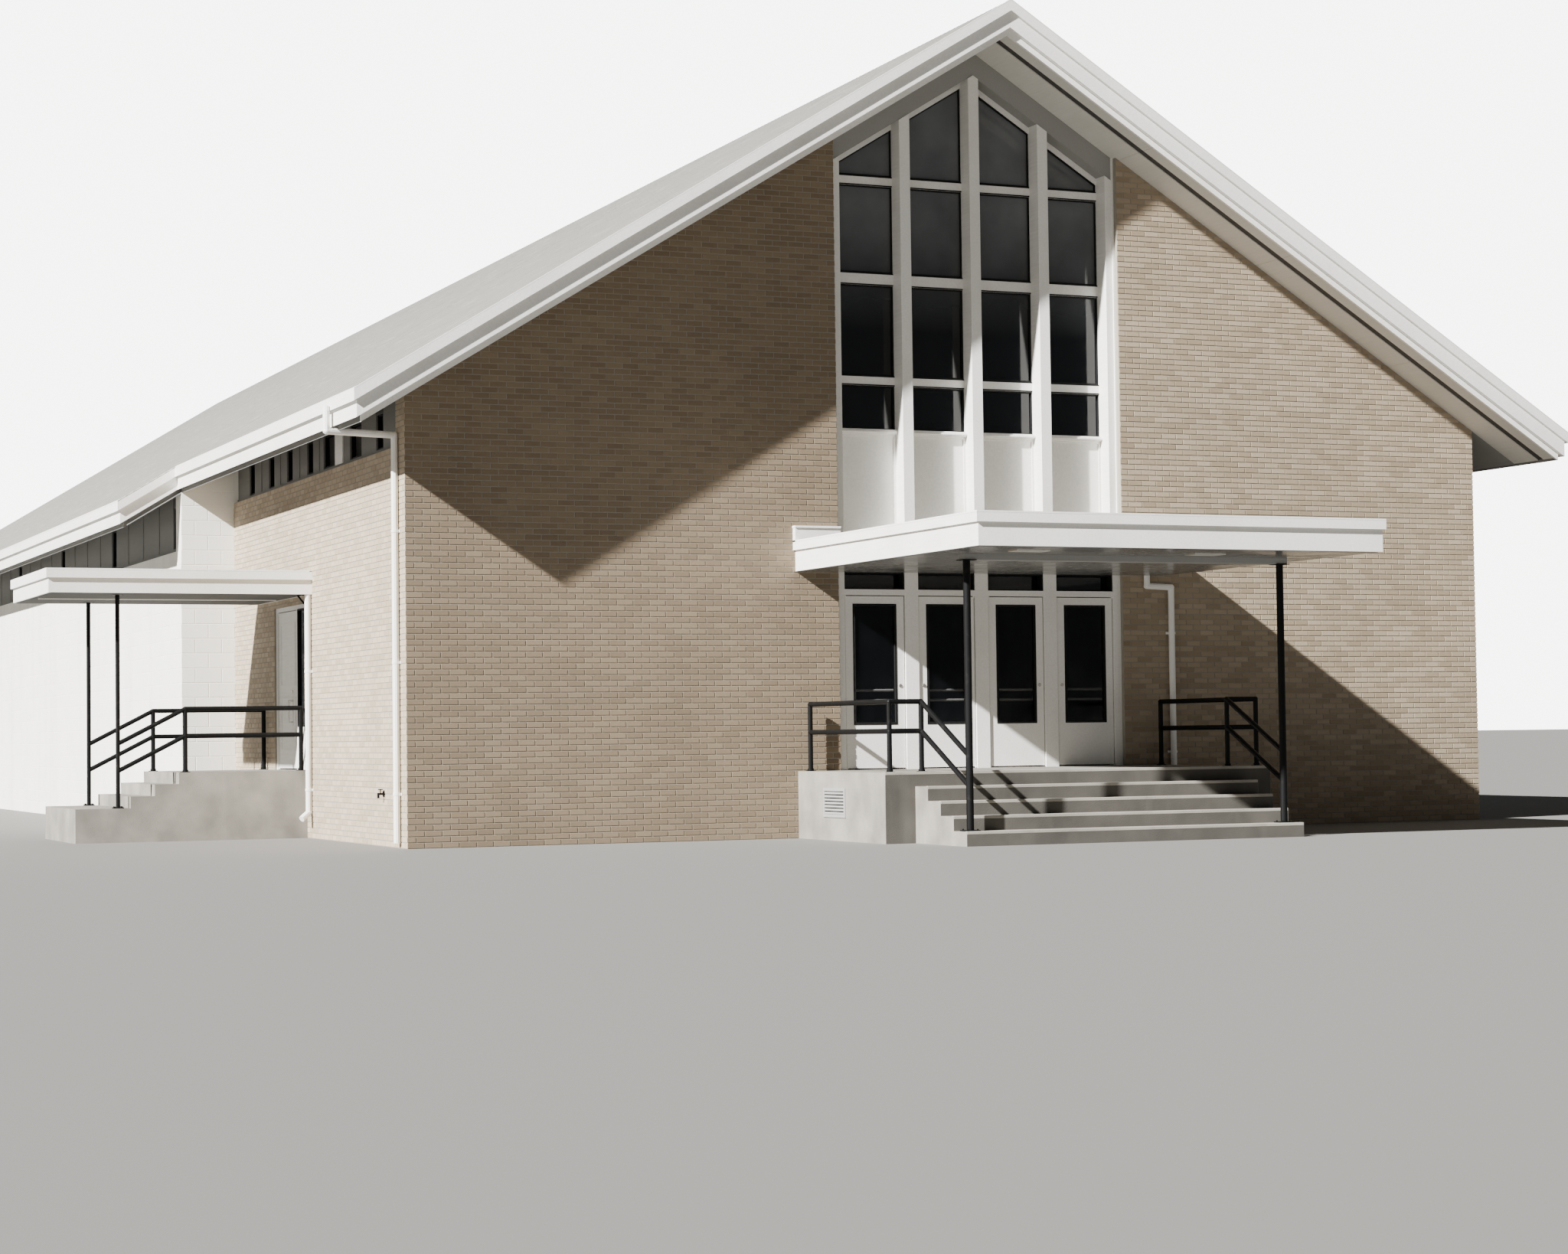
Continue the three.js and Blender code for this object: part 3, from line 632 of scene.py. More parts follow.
# The finish of CAD nodes, by how their names begin; the first that fits is taken, and trim otherwise
NODE_FINISH = {
    "mortar": ("front_wall", "left_wall", "right_wall"),
    "block": ("left_nave", "right_nave", "rear_wall"),
    "glass": ("clerestory_glass", "transom_glass", "sidelight_glass"),
    "tall_glass": ("window_glass",),
    "siding": ("clerestory",),
    "panel": ("gable_infill",),
    "sheet": ("roof_downspout", "canopy_downspout", "side_downspout"),
    "deck": ("roof",),
    "iron": ("canopy_post", "front_rail", "side_rail", "side_post"),
    "concrete": ("floor", "entrance_sill", "side_door_sill", "front_landing", "front_steps",
                 "side_landing", "side_steps"),
}


def node_finish(name):
    """The finish that a CAD node takes"""
    if name.startswith("front_door") and name.endswith("_glass"):
        return "door_glass"
    return next((finish for finish, starts in NODE_FINISH.items() if name.startswith(starts)), "trim")


def tint(name, description, code):
    """A colour that a user may change"""
    return FloatVectorProperty(name=name, description=description, subtype="COLOR", size=3, min=0, max=1,
                               default=srgb(code))


def measure(name, description, metres):
    """A length of the building that a user may change"""
    return FloatProperty(name=name, description=description, unit="LENGTH", default=metres, min=0.0005)


class ChurchColours(PropertyGroup):
    """Colours of the church"""

    brick: tint("Brick", "Body colour of the face brick", "#8b7a62")
    brick_dark: tint("Dark brick", "Colour of the hardest fired bricks", "#73634f")
    brick_light: tint("Light brick", "Colour of the palest bricks", "#b9a890")
    mortar: tint("Mortar", "Colour of the mortar joints", "#8f897c")
    masonry_paint: tint("Masonry paint", "Paint of the block walls", "#efece3")
    white_paint: tint("White paint", "Paint of the boards, doors and pipes", "#eceae4")
    panel_paint: tint("Panel paint", "Paint of the flat panels", "#908f8b")
    siding_paint: tint("Siding paint", "Paint of the window bands under the eaves", "#6e6d69")
    soffit_paint: tint("Soffit paint", "Paint of the boards under the front of the roof", "#cfccc3")
    soffit_enamel: tint("Soffit enamel", "Enamel of the sheets under the canopies", "#72716e")
    shingle: tint("Shingle", "Colour of the roof shingles", "#88867f")
    concrete: tint("Concrete", "Colour of the steps and landings", "#8b867c")
    glass: tint("Glass", "Colour seen through the glass", "#0b0d0f")
    iron: tint("Iron", "Enamel of the posts and rails", "#0e0e0e")


class ChurchSizes(PropertyGroup):
    """Sizes of the building's small parts"""

    brick_length: measure("Brick length", "Length of a brick with its joint", 0.2032)
    brick_course: measure("Brick course", "Height of a brick course", 0.0677)
    brick_joint: measure("Brick joint", "Width of the mortar joints", 0.010)
    block_length: measure("Block length", "Length of a concrete block with its joint", 0.4064)
    block_course: measure("Block course", "Height of a block course", 0.2032)
    shingle_width: measure("Shingle width", "Width of a shingle tab", 0.305)
    shingle_exposure: measure("Shingle exposure", "Part of a tab that shows", 0.127)


class CHURCH_OT_finishes(Operator):
    """Makes the materials and gives each CAD node its own"""

    bl_idname = "church.finishes"
    bl_label = "Finishes"

    def execute(self, context):
        make_materials(context.scene.church_colours)
        for name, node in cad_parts.items():
            node.data.materials.clear()
            node.data.materials.append(MADE[node_finish(name)])
        return {"FINISHED"}


# Brickwork: how far a brick stands before its mortar, how deep it sits in it, and its rounded edge
BRICK_PROUD = 0.005
BRICK_SEAT = 0.003
BRICK_ARRIS = 0.002

# Tone of the bricks: how much they differ, and painted light that makes the front's right and the sides paler
BRICK_SPREAD = 0.3
PAINTED_LIGHT_FRONT = 0.5
PAINTED_LIGHT_SIDE = 0.75


def masonry_unit(cell, joint, proud, arris):
    """One brick or block, with its front edges drawn in a little"""
    bm = bmesh.new()
    half = joint / 2
    verts = block(bm, (half, cell[0] - half), (-proud, BRICK_SEAT), (half, cell[1] - half))
    front = [v for v in verts if v.co.y < 0]
    middle = Matrix.Translation((-cell[0] / 2, 0, -cell[1] / 2))
    drawn = [1 - 2 * arris / (size - joint) for size in cell]
    bmesh.ops.scale(bm, vec=(drawn[0], 1, drawn[1]), space=middle, verts=front)
    return bm


def even_cell(length, run, course, rise):
    """A cell near the wanted size that fills a run in half units and a rise in whole courses"""
    halves = max(1, round(2 * run / length))
    return 2 * run / halves, rise / max(1, round(rise / course))


def lay_bricks(name, sizes, place, across, up, start, run, pale=0.0, phase=0.0, planes=()):
    """Face brick over one stretch of wall, made paler to some degree as painted light"""
    cell = even_cell(sizes.brick_length, run, sizes.brick_course, SIDE_SILL)
    bm = masonry_unit(cell, sizes.brick_joint, BRICK_PROUD, BRICK_ARRIS)
    tones = bond(bm, cell, across, up, start=start, phase=phase, planes=planes)
    # The paleness is painted light for the brighter light that falls on these stretches
    piece(bm, name, "brick", place=place, tones=pale + BRICK_SPREAD * tones)


class CHURCH_OT_brickwork(Operator):
    """Lays the face brick of the gable and of the side walls behind it"""

    bl_idname = "church.brickwork"
    bl_label = "Face brickwork"

    def execute(self, context):
        sizes = context.scene.church_sizes
        edge = FRONT_HALF + BRICK_PROUD
        for name, side in SIDES.items():
            lay_bricks(f"brick_front_{name}", sizes, facing("front"), mirrored(side, edge, BAY_HALF),
                       (0, soffit(BAY_HALF)), side * edge, edge - BAY_HALF,
                       pale=PAINTED_LIGHT_FRONT if side > 0 else 0.0, planes=[under_roof(side)])
        door, head = span("left_wall_over_door")[1:]
        corner = (-BRICK_PROUD, WALL)
        to_sill = (0, SIDE_SILL)
        to_roof = (0, soffit(FRONT_HALF))
        stretches = [
            ("left", "corner", corner, to_roof),
            ("left", "near_door", (WALL, door[0]), to_sill),
            ("left", "over_door", door, (head[0], SIDE_SILL)),
            ("left", "beyond_door", (door[1], NAVE_FRONT), to_sill),
            ("right", "corner", corner, to_roof),
            ("right", "side", (WALL, NAVE_FRONT), to_sill),
        ]
        for name, part, reach, up in stretches:
            side = SIDES[name]
            lay_bricks(f"brick_{name}_{part}", sizes, facing(name, FRONT_HALF), mirrored(side, *reach), up,
                       -side * BRICK_PROUD, NAVE_FRONT + BRICK_PROUD, pale=PAINTED_LIGHT_SIDE, phase=0.5)
        return {"FINISHED"}


# Painted blocks stand less proud than bricks, because paint fills their joints
BLOCK_PROUD = 0.003
BLOCK_JOINT = 0.009
BLOCK_ARRIS = 0.003


class CHURCH_OT_blockwork(Operator):
    """Lays the painted blocks of the nave walls, of their short front returns and of the rear wall"""

    bl_idname = "church.blockwork"
    bl_label = "Painted blockwork"

    def lay(self, sizes, name, place, across, up, planes=(), phase=0.0):
        """Painted blocks over one stretch of wall"""
        cell = even_cell(sizes.block_length, across[1] - across[0], sizes.block_course, NAVE_SILL)
        bm = masonry_unit(cell, BLOCK_JOINT, BLOCK_PROUD, BLOCK_ARRIS)
        tones = bond(bm, cell, across, up, start=across[0], phase=phase, planes=planes)
        piece(bm, name, "block", place=place, tones=tones)

    def execute(self, context):
        sizes = context.scene.church_sizes
        for name, side in SIDES.items():
            across = mirrored(side, NAVE_FRONT - BLOCK_PROUD, REAR + BLOCK_PROUD)
            self.lay(sizes, f"block_nave_{name}", facing(name, NAVE_HALF), across, (0, NAVE_SILL))
            across = mirrored(side, NAVE_HALF, FRONT_HALF)
            self.lay(sizes, f"block_return_{name}", facing("front", -NAVE_FRONT), across,
                     (0, soffit(FRONT_HALF)), [under_roof(side)], 0.5)
        self.lay(sizes, "block_rear", facing("rear", REAR), (-NAVE_HALF, NAVE_HALF), (0, soffit(0)),
                 [under_roof(side) for side in SIDES.values()])
        return {"FINISHED"}


# Roofing: lift of a tab's lower edge and of its hidden upper end, and what stays back from the edges
TAB_LIFT = 0.008
TAB_HIDDEN_LIFT = 0.001
TAB_LAP = 0.02
TAB_SLOT = 0.007
ROOF_EDGE_GAP = 0.004
RIDGE_GAP = 0.01

# Ridge caps: reach down each slope, thickness, lift off the ridge, dip of the end under the next, and faces
CAP_WING = 0.15
CAP_THICKNESS = 0.006
CAP_LIFT = 0.002
CAP_DIP = 0.8 * CAP_THICKNESS
CAP_FACES = 10


def shingle_tab(width, exposure):
    """One tab: a thin wedge whose upper end slips under the next row"""
    bm = bmesh.new()
    half = TAB_SLOT / 2
    verts = block(bm, (half, width - half), (-TAB_LIFT, DEEP_SEAT), (0, exposure + TAB_LAP))
    upper = [v for v in verts if v.co.z > exposure and v.co.y < 0]
    bmesh.ops.translate(bm, vec=(0, TAB_LIFT - TAB_HIDDEN_LIFT, 0), verts=upper)
    return bm


class CHURCH_OT_roofing(Operator):
    """Lays the shingle tabs row by row up both slopes, and the caps along the ridge"""

    bl_idname = "church.roofing"
    bl_label = "Roofing"

    def execute(self, context):
        sizes = context.scene.church_sizes
        cell = (sizes.shingle_width, sizes.shingle_exposure)
        parts = [
            ("front", (ROOF_FRONT + ROOF_EDGE_GAP, ROOF_STEP), FRONT_EAVE - ROOF_EDGE_GAP),
            ("nave", (ROOF_STEP, ROOF_REAR - ROOF_EDGE_GAP), NAVE_EAVE - ROOF_EDGE_GAP),
        ]
        for name, side in SIDES.items():
            place = Matrix.Translation((0, 0, RIDGE)) @ facing(name, lean=math.pi / 2 - SLOPE)
            for part, reach, eave in parts:
                foot = -eave * SLOPE_LENGTH
                bm = shingle_tab(*cell)
                tones = bond(bm, cell, mirrored(side, *reach), (foot, -RIDGE_GAP), base=foot)
                piece(bm, f"shingles_{part}_{name}", "shingle", place=place, tones=tones)
        self.cap_ridge(sizes.shingle_exposure)
        return {"FINISHED"}

    def cap_ridge(self, exposure):
        """Bent caps that lap each other from the front to the rear"""
        bm = bmesh.new()
        verts = block(bm, (-CAP_WING, CAP_WING), (0, exposure + TAB_LAP), (0, CAP_THICKNESS))
        rear = [v for v in verts if v.co.y > exposure]
        bmesh.ops.translate(bm, vec=(0, 0, -CAP_DIP), verts=rear)
        bmesh.ops.bisect_plane(bm, geom=everything(bm), dist=1e-5, plane_co=(0, 0, 0), plane_no=(1, 0, 0))
        for vert in bm.verts:
            vert.co.z += RIDGE - PITCH * abs(vert.co.x) + CAP_LIFT
        run = ROOF_REAR - ROOF_FRONT - 2 * ROOF_EDGE_GAP
        bmesh.ops.translate(bm, vec=(0, ROOF_FRONT + ROOF_EDGE_GAP, 0), verts=bm.verts[:])
        repeat(bm, (math.floor(run / exposure), (0, exposure, 0)))
        trim(bm, (0, ROOF_REAR - ROOF_EDGE_GAP, 0), (0, 1, 0))
        tones = TONES[0][(np.arange(len(bm.faces)) // CAP_FACES) % CELLS]
        piece(bm, "ridge_caps", "shingle", tones=tones)


# Roof edge: a metal strip on the top edge of the fascia, and painted boards under the overhang
DRIP_HEIGHT = 0.012
DRIP_WIDTH = 0.045
FASCIA_INNER = 0.1005
CLOSER_RISE = 0.1
SOFFIT_BOARD = 0.012
SOFFIT_SETBACK = 0.14
SOFFIT_SLOT = 0.12
SOFFIT_SLOT_PLACE = -0.56
SOFFIT_LENGTH = 2.44
SOFFIT_GAP = 0.006
SOFFIT_BAY_GAP = 0.003
SOFFIT_OVER_WALL = 0.05


def edge_strips(outer, inner):
    """Plan, on the right half, of a strip that follows the roof's edge between two setbacks from it"""
    yield (HAIRLINE, FRONT_EAVE - outer), (ROOF_FRONT + outer, ROOF_FRONT + inner)
    yield (FRONT_EAVE - inner, FRONT_EAVE - outer), (ROOF_FRONT + inner, ROOF_STEP + outer)
    yield (FRONT_EAVE - inner, NAVE_EAVE - outer), (ROOF_STEP + outer, ROOF_STEP + inner)
    yield (NAVE_EAVE - inner, NAVE_EAVE - outer), (ROOF_STEP + inner, ROOF_REAR - inner)
    yield (HAIRLINE, NAVE_EAVE - outer), (ROOF_REAR - inner, ROOF_REAR - outer)


class CHURCH_OT_roof_edges(Operator):
    """Fits the drip strips round the roof and the painted boards under its overhangs"""

    bl_idname = "church.roof_edges"
    bl_label = "Roof edges"

    def strip(self, side, rectangles, depth):
        """Parts of a strip along the roof's edge, between two depths"""
        bm = bmesh.new()
        for across, along in rectangles:
            block(bm, mirrored(side, *across), along, depth)
        fall(bm, side)
        return bm

    def boards(self, side, strips):
        """Boards under the roof: each strip has its reach from the ridge, its run and its direction"""
        bm = bmesh.new()
        depth = (-ROOF_DEPTH - SOFFIT_BOARD, -ROOF_DEPTH + DEEP_SEAT)
        for reach, along, lengthwise in strips:
            run = reach if lengthwise else along
            count = max(1, math.ceil((run[1] - run[0]) / SOFFIT_LENGTH))
            step = (run[1] - run[0]) / count
            for i in range(count):
                part = (run[0] + i * step, run[0] + (i + 1) * step - SOFFIT_GAP)
                across, y = (part, along) if lengthwise else (reach, part)
                block(bm, mirrored(side, *across), y, depth)
        fall(bm, side)
        return bm

    def execute(self, context):
        slot = about(SOFFIT_SLOT_PLACE, SOFFIT_SLOT / 2)
        front_reach = FRONT_EAVE - SOFFIT_SETBACK
        nave_reach = NAVE_EAVE - SOFFIT_SETBACK
        step = ROOF_STEP + SOFFIT_SETBACK
        rake_boards = [
            ((SEAT, front_reach), (ROOF_FRONT + SOFFIT_SETBACK, slot[0]), True),
            ((SEAT, front_reach), (slot[1], -SEAT), True),
            ((SEAT, BAY_HALF - SOFFIT_BAY_GAP), (SEAT, span("gable_infill")[1][0] - SEAT), False),
        ]
        eave_boards = [
            ((FRONT_HALF - SOFFIT_OVER_WALL, front_reach), (SEAT, step - SEAT), False),
            ((FRONT_HALF - SOFFIT_OVER_WALL, nave_reach), (step, NAVE_FRONT - SEAT), True),
            ((NAVE_HALF - SOFFIT_OVER_WALL, nave_reach), (NAVE_FRONT, REAR), False),
            ((SEAT, nave_reach), (REAR + SEAT, ROOF_REAR - SOFFIT_SETBACK), True),
        ]
        front_rake, *eaves, rear_rake = edge_strips(FASCIA_INNER, SOFFIT_SETBACK - SEAT)
        closer = (-ROOF_DEPTH - SOFFIT_BOARD, -ROOF_DEPTH + CLOSER_RISE)
        for name, side in SIDES.items():
            drip = self.strip(side, edge_strips(0, DRIP_WIDTH), (-DEEP_SEAT, DRIP_HEIGHT))
            piece(drip, f"drip_strip_{name}", "sheet")
            rakes = self.strip(side, (front_rake, rear_rake), closer)
            piece(rakes, f"rake_closer_{name}", "trim")
            # The eave closers and eave boards take the darker siding and panel paints as painted shade for
            # the shade under the eaves
            piece(self.strip(side, eaves, closer), f"eave_closer_{name}", "siding")
            piece(self.boards(side, eave_boards), f"soffit_eave_boards_{name}", "panel")
            piece(self.boards(side, rake_boards), f"soffit_rake_boards_{name}", "soffit")
        return {"FINISHED"}


# Canopies: enamelled sheets below, a lip and gravel above, and flashings where they meet the wall
CANOPY_TRIM = 0.13
SHEET_THICKNESS = 0.006
SHEET_GAP = 0.006
SHEET_SIZE = 1.22
LIP_HEIGHT = 0.018
LIP_WIDTH = 0.04
GRAVEL_DEPTH = 0.012
BEAM_CASING = ((-2.078, 2.078), (-3.566, -3.434), (CANOPY_SOFFIT - 0.071, CANOPY_SOFFIT))
COVER_STRIP = 0.06
COVER_DEPTHS = (0.016, 0.004)
FLASHING_END = 0.006
FRONT_FLASHING = ((-0.094, -HAIRLINE), (CANOPY_Z[1] - 0.02, CANOPY_Z[1] + 0.004))
WINDOW_FLASHING = ((-0.05, 0.3), (CURB_FOOT - 0.002, CURB_FOOT + 0.006))
FLASHING_SIDE_GAP = 0.002

# Lamps let into the sheets: places, half sizes, width and drop of the rim, inset and drop of the lens
LAMPS = ((0.67, -4.08), (-1.64, -4.25))
LAMP_HALF = (0.2, 0.11)
LAMP_RIM = 0.025
LAMP_DROP = 0.02
LENS_INSET = 0.02
LENS_DROP = 0.014

# Bracket of the side canopy: gap to the brick wall's own line, arm, leg, width, iron and strut
BRACKET_WALL_GAP = 0.006
BRACKET_ARM = 0.16
BRACKET_LEG = 0.2
BRACKET_WIDTH = 0.05
BRACKET_IRON = 0.012
BRACKET_PIPE_GAP = 0.02
STRUT_INSET = 0.01


def sheets(bm, x, y, z):
    """Flat sheets side by side in whole sizes, with open joints"""
    counts = [max(1, round((b - a) / SHEET_SIZE)) for a, b in (x, y)]
    step = [(x[1] - x[0]) / counts[0], (y[1] - y[0]) / counts[1]]
    block(bm, (x[0], x[0] + step[0] - SHEET_GAP), (y[0], y[0] + step[1] - SHEET_GAP), z)
    repeat(bm, (counts[0], (step[0], 0, 0)), (counts[1], (0, step[1], 0)))


def edging(bm, x, y, z, width, closed):
    """Four strips round a flat roof, without the one on the closed side"""
    strips = {
        "left": ((x[0], x[0] + width), y),
        "right": ((x[1] - width, x[1]), y),
        "front": (within(x, width), (y[0], y[0] + width)),
        "rear": (within(x, width), (y[1] - width, y[1])),
    }
    for side, (across, along) in strips.items():
        if side != closed:
            block(bm, across, along, z)


class CHURCH_OT_canopies(Operator):
    """Finishes both canopies: sheets, casings, lips, gravel, lamps and wall flashings"""

    bl_idname = "church.canopies"
    bl_label = "Canopies"

    def canopy(self, name, finish, x, y, low, top, closed):
        """Sheets under one canopy, and the lip and gravel on its roof; closed is the side at the wall"""
        bm = bmesh.new()
        sheets(bm, within(x, CANOPY_TRIM / 2), within(y, CANOPY_TRIM / 2),
               (low - SHEET_THICKNESS, low + DEEP_SEAT))
        piece(bm, f"{name}_soffit_sheets", finish)
        bm = bmesh.new()
        edging(bm, x, y, (top - DEEP_SEAT, top + LIP_HEIGHT), LIP_WIDTH, closed)
        piece(bm, f"{name}_roof_lip", "sheet")
        right = x[1] if closed == "right" else x[1] - LIP_WIDTH
        rear = y[1] if closed == "rear" else y[1] - LIP_WIDTH
        bed = ((x[0] + LIP_WIDTH, right), (y[0] + LIP_WIDTH, rear), (top - DEEP_SEAT, top + GRAVEL_DEPTH))
        block_piece(f"{name}_gravel", "gravel", "concrete", bed)

    def lamps(self):
        """Lamps over the entrance: a metal rim round a frosted lens"""
        rims = bmesh.new()
        lenses = []
        for x, y in LAMPS:
            outer = (about(x, LAMP_HALF[0]), about(y, LAMP_HALF[1]))
            edging(rims, *outer, (CANOPY_SOFFIT - LAMP_DROP, CANOPY_SOFFIT), LAMP_RIM, None)
            inner = [within(reach, LENS_INSET) for reach in outer]
            lenses.append((*inner, (CANOPY_SOFFIT - LENS_DROP, CANOPY_SOFFIT)))
        soften(rims, 0.004)
        piece(rims, "lamp_frames", "nickel")
        block_piece("lamp_lenses", "lens", "white_paint", *lenses)

    def bracket(self, level):
        """An iron angle with a strut that carries the side canopy beside its rain pipe"""
        wall = -FRONT_HALF - BRACKET_WALL_GAP
        y = span("side_downspout")[1][1] + BRACKET_PIPE_GAP
        along = (y, y + BRACKET_WIDTH)
        middle = y + BRACKET_WIDTH / 2
        bm = bmesh.new()
        block(bm, (wall - BRACKET_ARM, wall), along, (level - BRACKET_IRON, level))
        block(bm, (wall - BRACKET_IRON, wall), along, (level - BRACKET_LEG, level))
        rod(bm, (wall - BRACKET_ARM + STRUT_INSET, middle, level - STRUT_INSET),
            (wall, middle, level - BRACKET_LEG + STRUT_INSET), BRACKET_IRON)
        piece(bm, "side_canopy_bracket", "iron")

    def execute(self, context):
        front_x = span("front_canopy")[0]
        self.canopy("front_canopy", "gloss", front_x, CANOPY_Y, CANOPY_SOFFIT, CURB_FOOT, "rear")
        x, y, (low, high) = span("side_canopy")
        # The side canopy's sheets take a dark grey as painted shade for the shade under the canopy
        self.canopy("side_canopy", "dim", x, y, low, high, "right")
        self.lamps()
        block_piece("canopy_beam_casing", "panel", "panel_paint", BEAM_CASING, rounding=0.004)
        cover = (within(x, CANOPY_TRIM), about(halfway(y), COVER_STRIP / 2),
                 (low - COVER_DEPTHS[0], low - COVER_DEPTHS[1]))
        block_piece("side_canopy_cover_strip", "trim", "white_paint", cover, rounding=0.003)
        flashings = [(mirrored(side, BAY_HALF + SEAT, front_x[1] + FLASHING_END), *FRONT_FLASHING)
                     for side in SIDES.values()]
        flashings.append((within((-BAY_HALF, BAY_HALF), FLASHING_SIDE_GAP), *WINDOW_FLASHING))
        block_piece("canopy_flashings", "sheet", "pipe_paint", *flashings)
        self.bracket(low)
        return {"FINISHED"}


# Clerestory bands: sashes in the slots, lights above them, and battens over a rail between them
BAND_SETBACK = 0.06
BATTEN = 0.03
BATTEN_PROUD = 0.01
RAIL_HEIGHT = 0.04
RAIL_PROUD = 1.2 * BATTEN_PROUD
RAIL_GAP = 0.002
PALE_BOARD = (2.94, 3.29)
PALE_BOARD_PROUD = 0.015
PALE_BOARD_GAP = 0.003
SASH = 0.025
SASH_DEPTHS = (0.07, 0.02)
LIGHT_PROUD = 0.003

# Slots: middle and width of each in the front band, and one regular row in the nave's
SLOTS_FRONT = (
    (1.27, 0.31), (2.36, 0.54), (3.64, 0.54), (4.6, 0.31), (5.69, 0.31), (6.71, 0.31), (7.86, 0.31),
)
SLOT_FRONT_HEIGHT = (4.65, 5.07)
SLOT_NAVE_HEIGHT = (3.99, 4.58)
SLOT_NAVE_WIDTH = 0.38
SLOT_NAVE_PITCH = 4.79
SLOT_NAVE_COUNT = 7
SLOT_NAVE_FIRST = 0.64
NAVE_BATTENS = 4


class CHURCH_OT_clerestories(Operator):
    """Fits frames and battens on the window bands under the eaves"""

    bl_idname = "church.clerestories"
    bl_label = "Clerestories"

    def fit(self, part, name, half, slots, height, battens, run, foot):
        """Frames in the slots and battens between them, on the outer face of one band"""
        side = SIDES[name]
        place = facing(name, half - BAND_SETBACK)
        top = soffit(half - BAND_SETBACK) - SOFFIT_BOARD
        openings = [mirrored(side, *about(middle, width / 2)) for middle, width in slots]
        sashes = [(rectangle(across, height), SASH, SASH_DEPTHS) for across in openings]
        lights = [(across, (-LIGHT_PROUD, SEAT), (height[1] - SEAT, top)) for across in openings]
        bars = [(mirrored(side, *about(middle, BATTEN / 2)), (-BATTEN_PROUD, SEAT), (foot + RAIL_HEIGHT, top))
                for middle in battens]
        bars.append((mirrored(side, *run), (-RAIL_PROUD, SEAT), (foot, foot + RAIL_HEIGHT)))
        band = f"{name}_{part}"
        frame_piece(f"clerestory_sashes_{band}", "iron", "iron_paint", *sashes, place=place)
        block_piece(f"clerestory_upper_lights_{band}", "glass", "panel_paint", *lights, place=place)
        block_piece(f"clerestory_battens_{band}", "siding", "panel_paint", *bars, place=place)

    def pale_board(self, name):
        """The broad white board between the two wide slots of the front band"""
        distance = FRONT_HALF - BAND_SETBACK
        up = (SIDE_SILL + RAIL_HEIGHT + PALE_BOARD_GAP, soffit(distance) - SOFFIT_BOARD)
        board = (mirrored(SIDES[name], *PALE_BOARD), (-PALE_BOARD_PROUD, SEAT), up)
        block_piece(f"clerestory_board_{name}", "trim", "white_paint", board, place=facing(name, distance))

    def execute(self, context):
        first = NAVE_FRONT + SLOT_NAVE_FIRST
        nave_slots = [(first + SLOT_NAVE_PITCH * i, SLOT_NAVE_WIDTH) for i in range(SLOT_NAVE_COUNT)]
        step = SLOT_NAVE_PITCH / NAVE_BATTENS
        battens = [middle + step * k for middle, _ in nave_slots for k in range(1, NAVE_BATTENS)]
        nave_battens = [y for y in battens if y < REAR - WALL]
        between = [(near[0] + far[0]) / 2 for near, far in zip(SLOTS_FRONT[2:], SLOTS_FRONT[3:])]
        for name in SIDES:
            self.pale_board(name)
            self.fit("front", name, FRONT_HALF, SLOTS_FRONT, SLOT_FRONT_HEIGHT, between,
                     within((WALL, NAVE_FRONT), RAIL_GAP), SIDE_SILL + RAIL_GAP)
            self.fit("nave", name, NAVE_HALF, nave_slots, SLOT_NAVE_HEIGHT, nave_battens,
                     (NAVE_FRONT + WALL, REAR - WALL), NAVE_SILL + RAIL_GAP)
        return {"FINISHED"}


# Tall window: lines of its panes, as in the frame
WINDOW_ROWS = ((4.97, 5.51), (5.635, 6.75), (6.905, 7.98), (8.105, None))
WINDOW_HEAD = 9.33
FIN_PITCH = 0.96
FIN_HALF = 0.07
WINDOW_JAMB = 0.115
FRAME_FRONT = 0.31
GLASS_FRONT = 0.35

# Its trims: gasket width, how far gaskets and panel trims stand back or out, sill noses and jamb trims
GASKET = 0.016
GASKET_STEP = 0.014
PANEL_TRIM = 0.03
PANEL_GAPS = (0.03, 0.06)
SILL_DEPTH = 0.07
SILL_HEIGHTS = (0.03, 0.002)
JAMB_TRIM = 0.02
JAMB_DEPTHS = (0.07, 0.1)


def window_bays():
    """The clear width between fins, from left to right"""
    for bay in (-2, -1, 0, 1):
        left = -BAY_HALF + WINDOW_JAMB if bay == -2 else bay * FIN_PITCH + FIN_HALF
        right = BAY_HALF - WINDOW_JAMB if bay == 1 else (bay + 1) * FIN_PITCH - FIN_HALF
        yield left, right


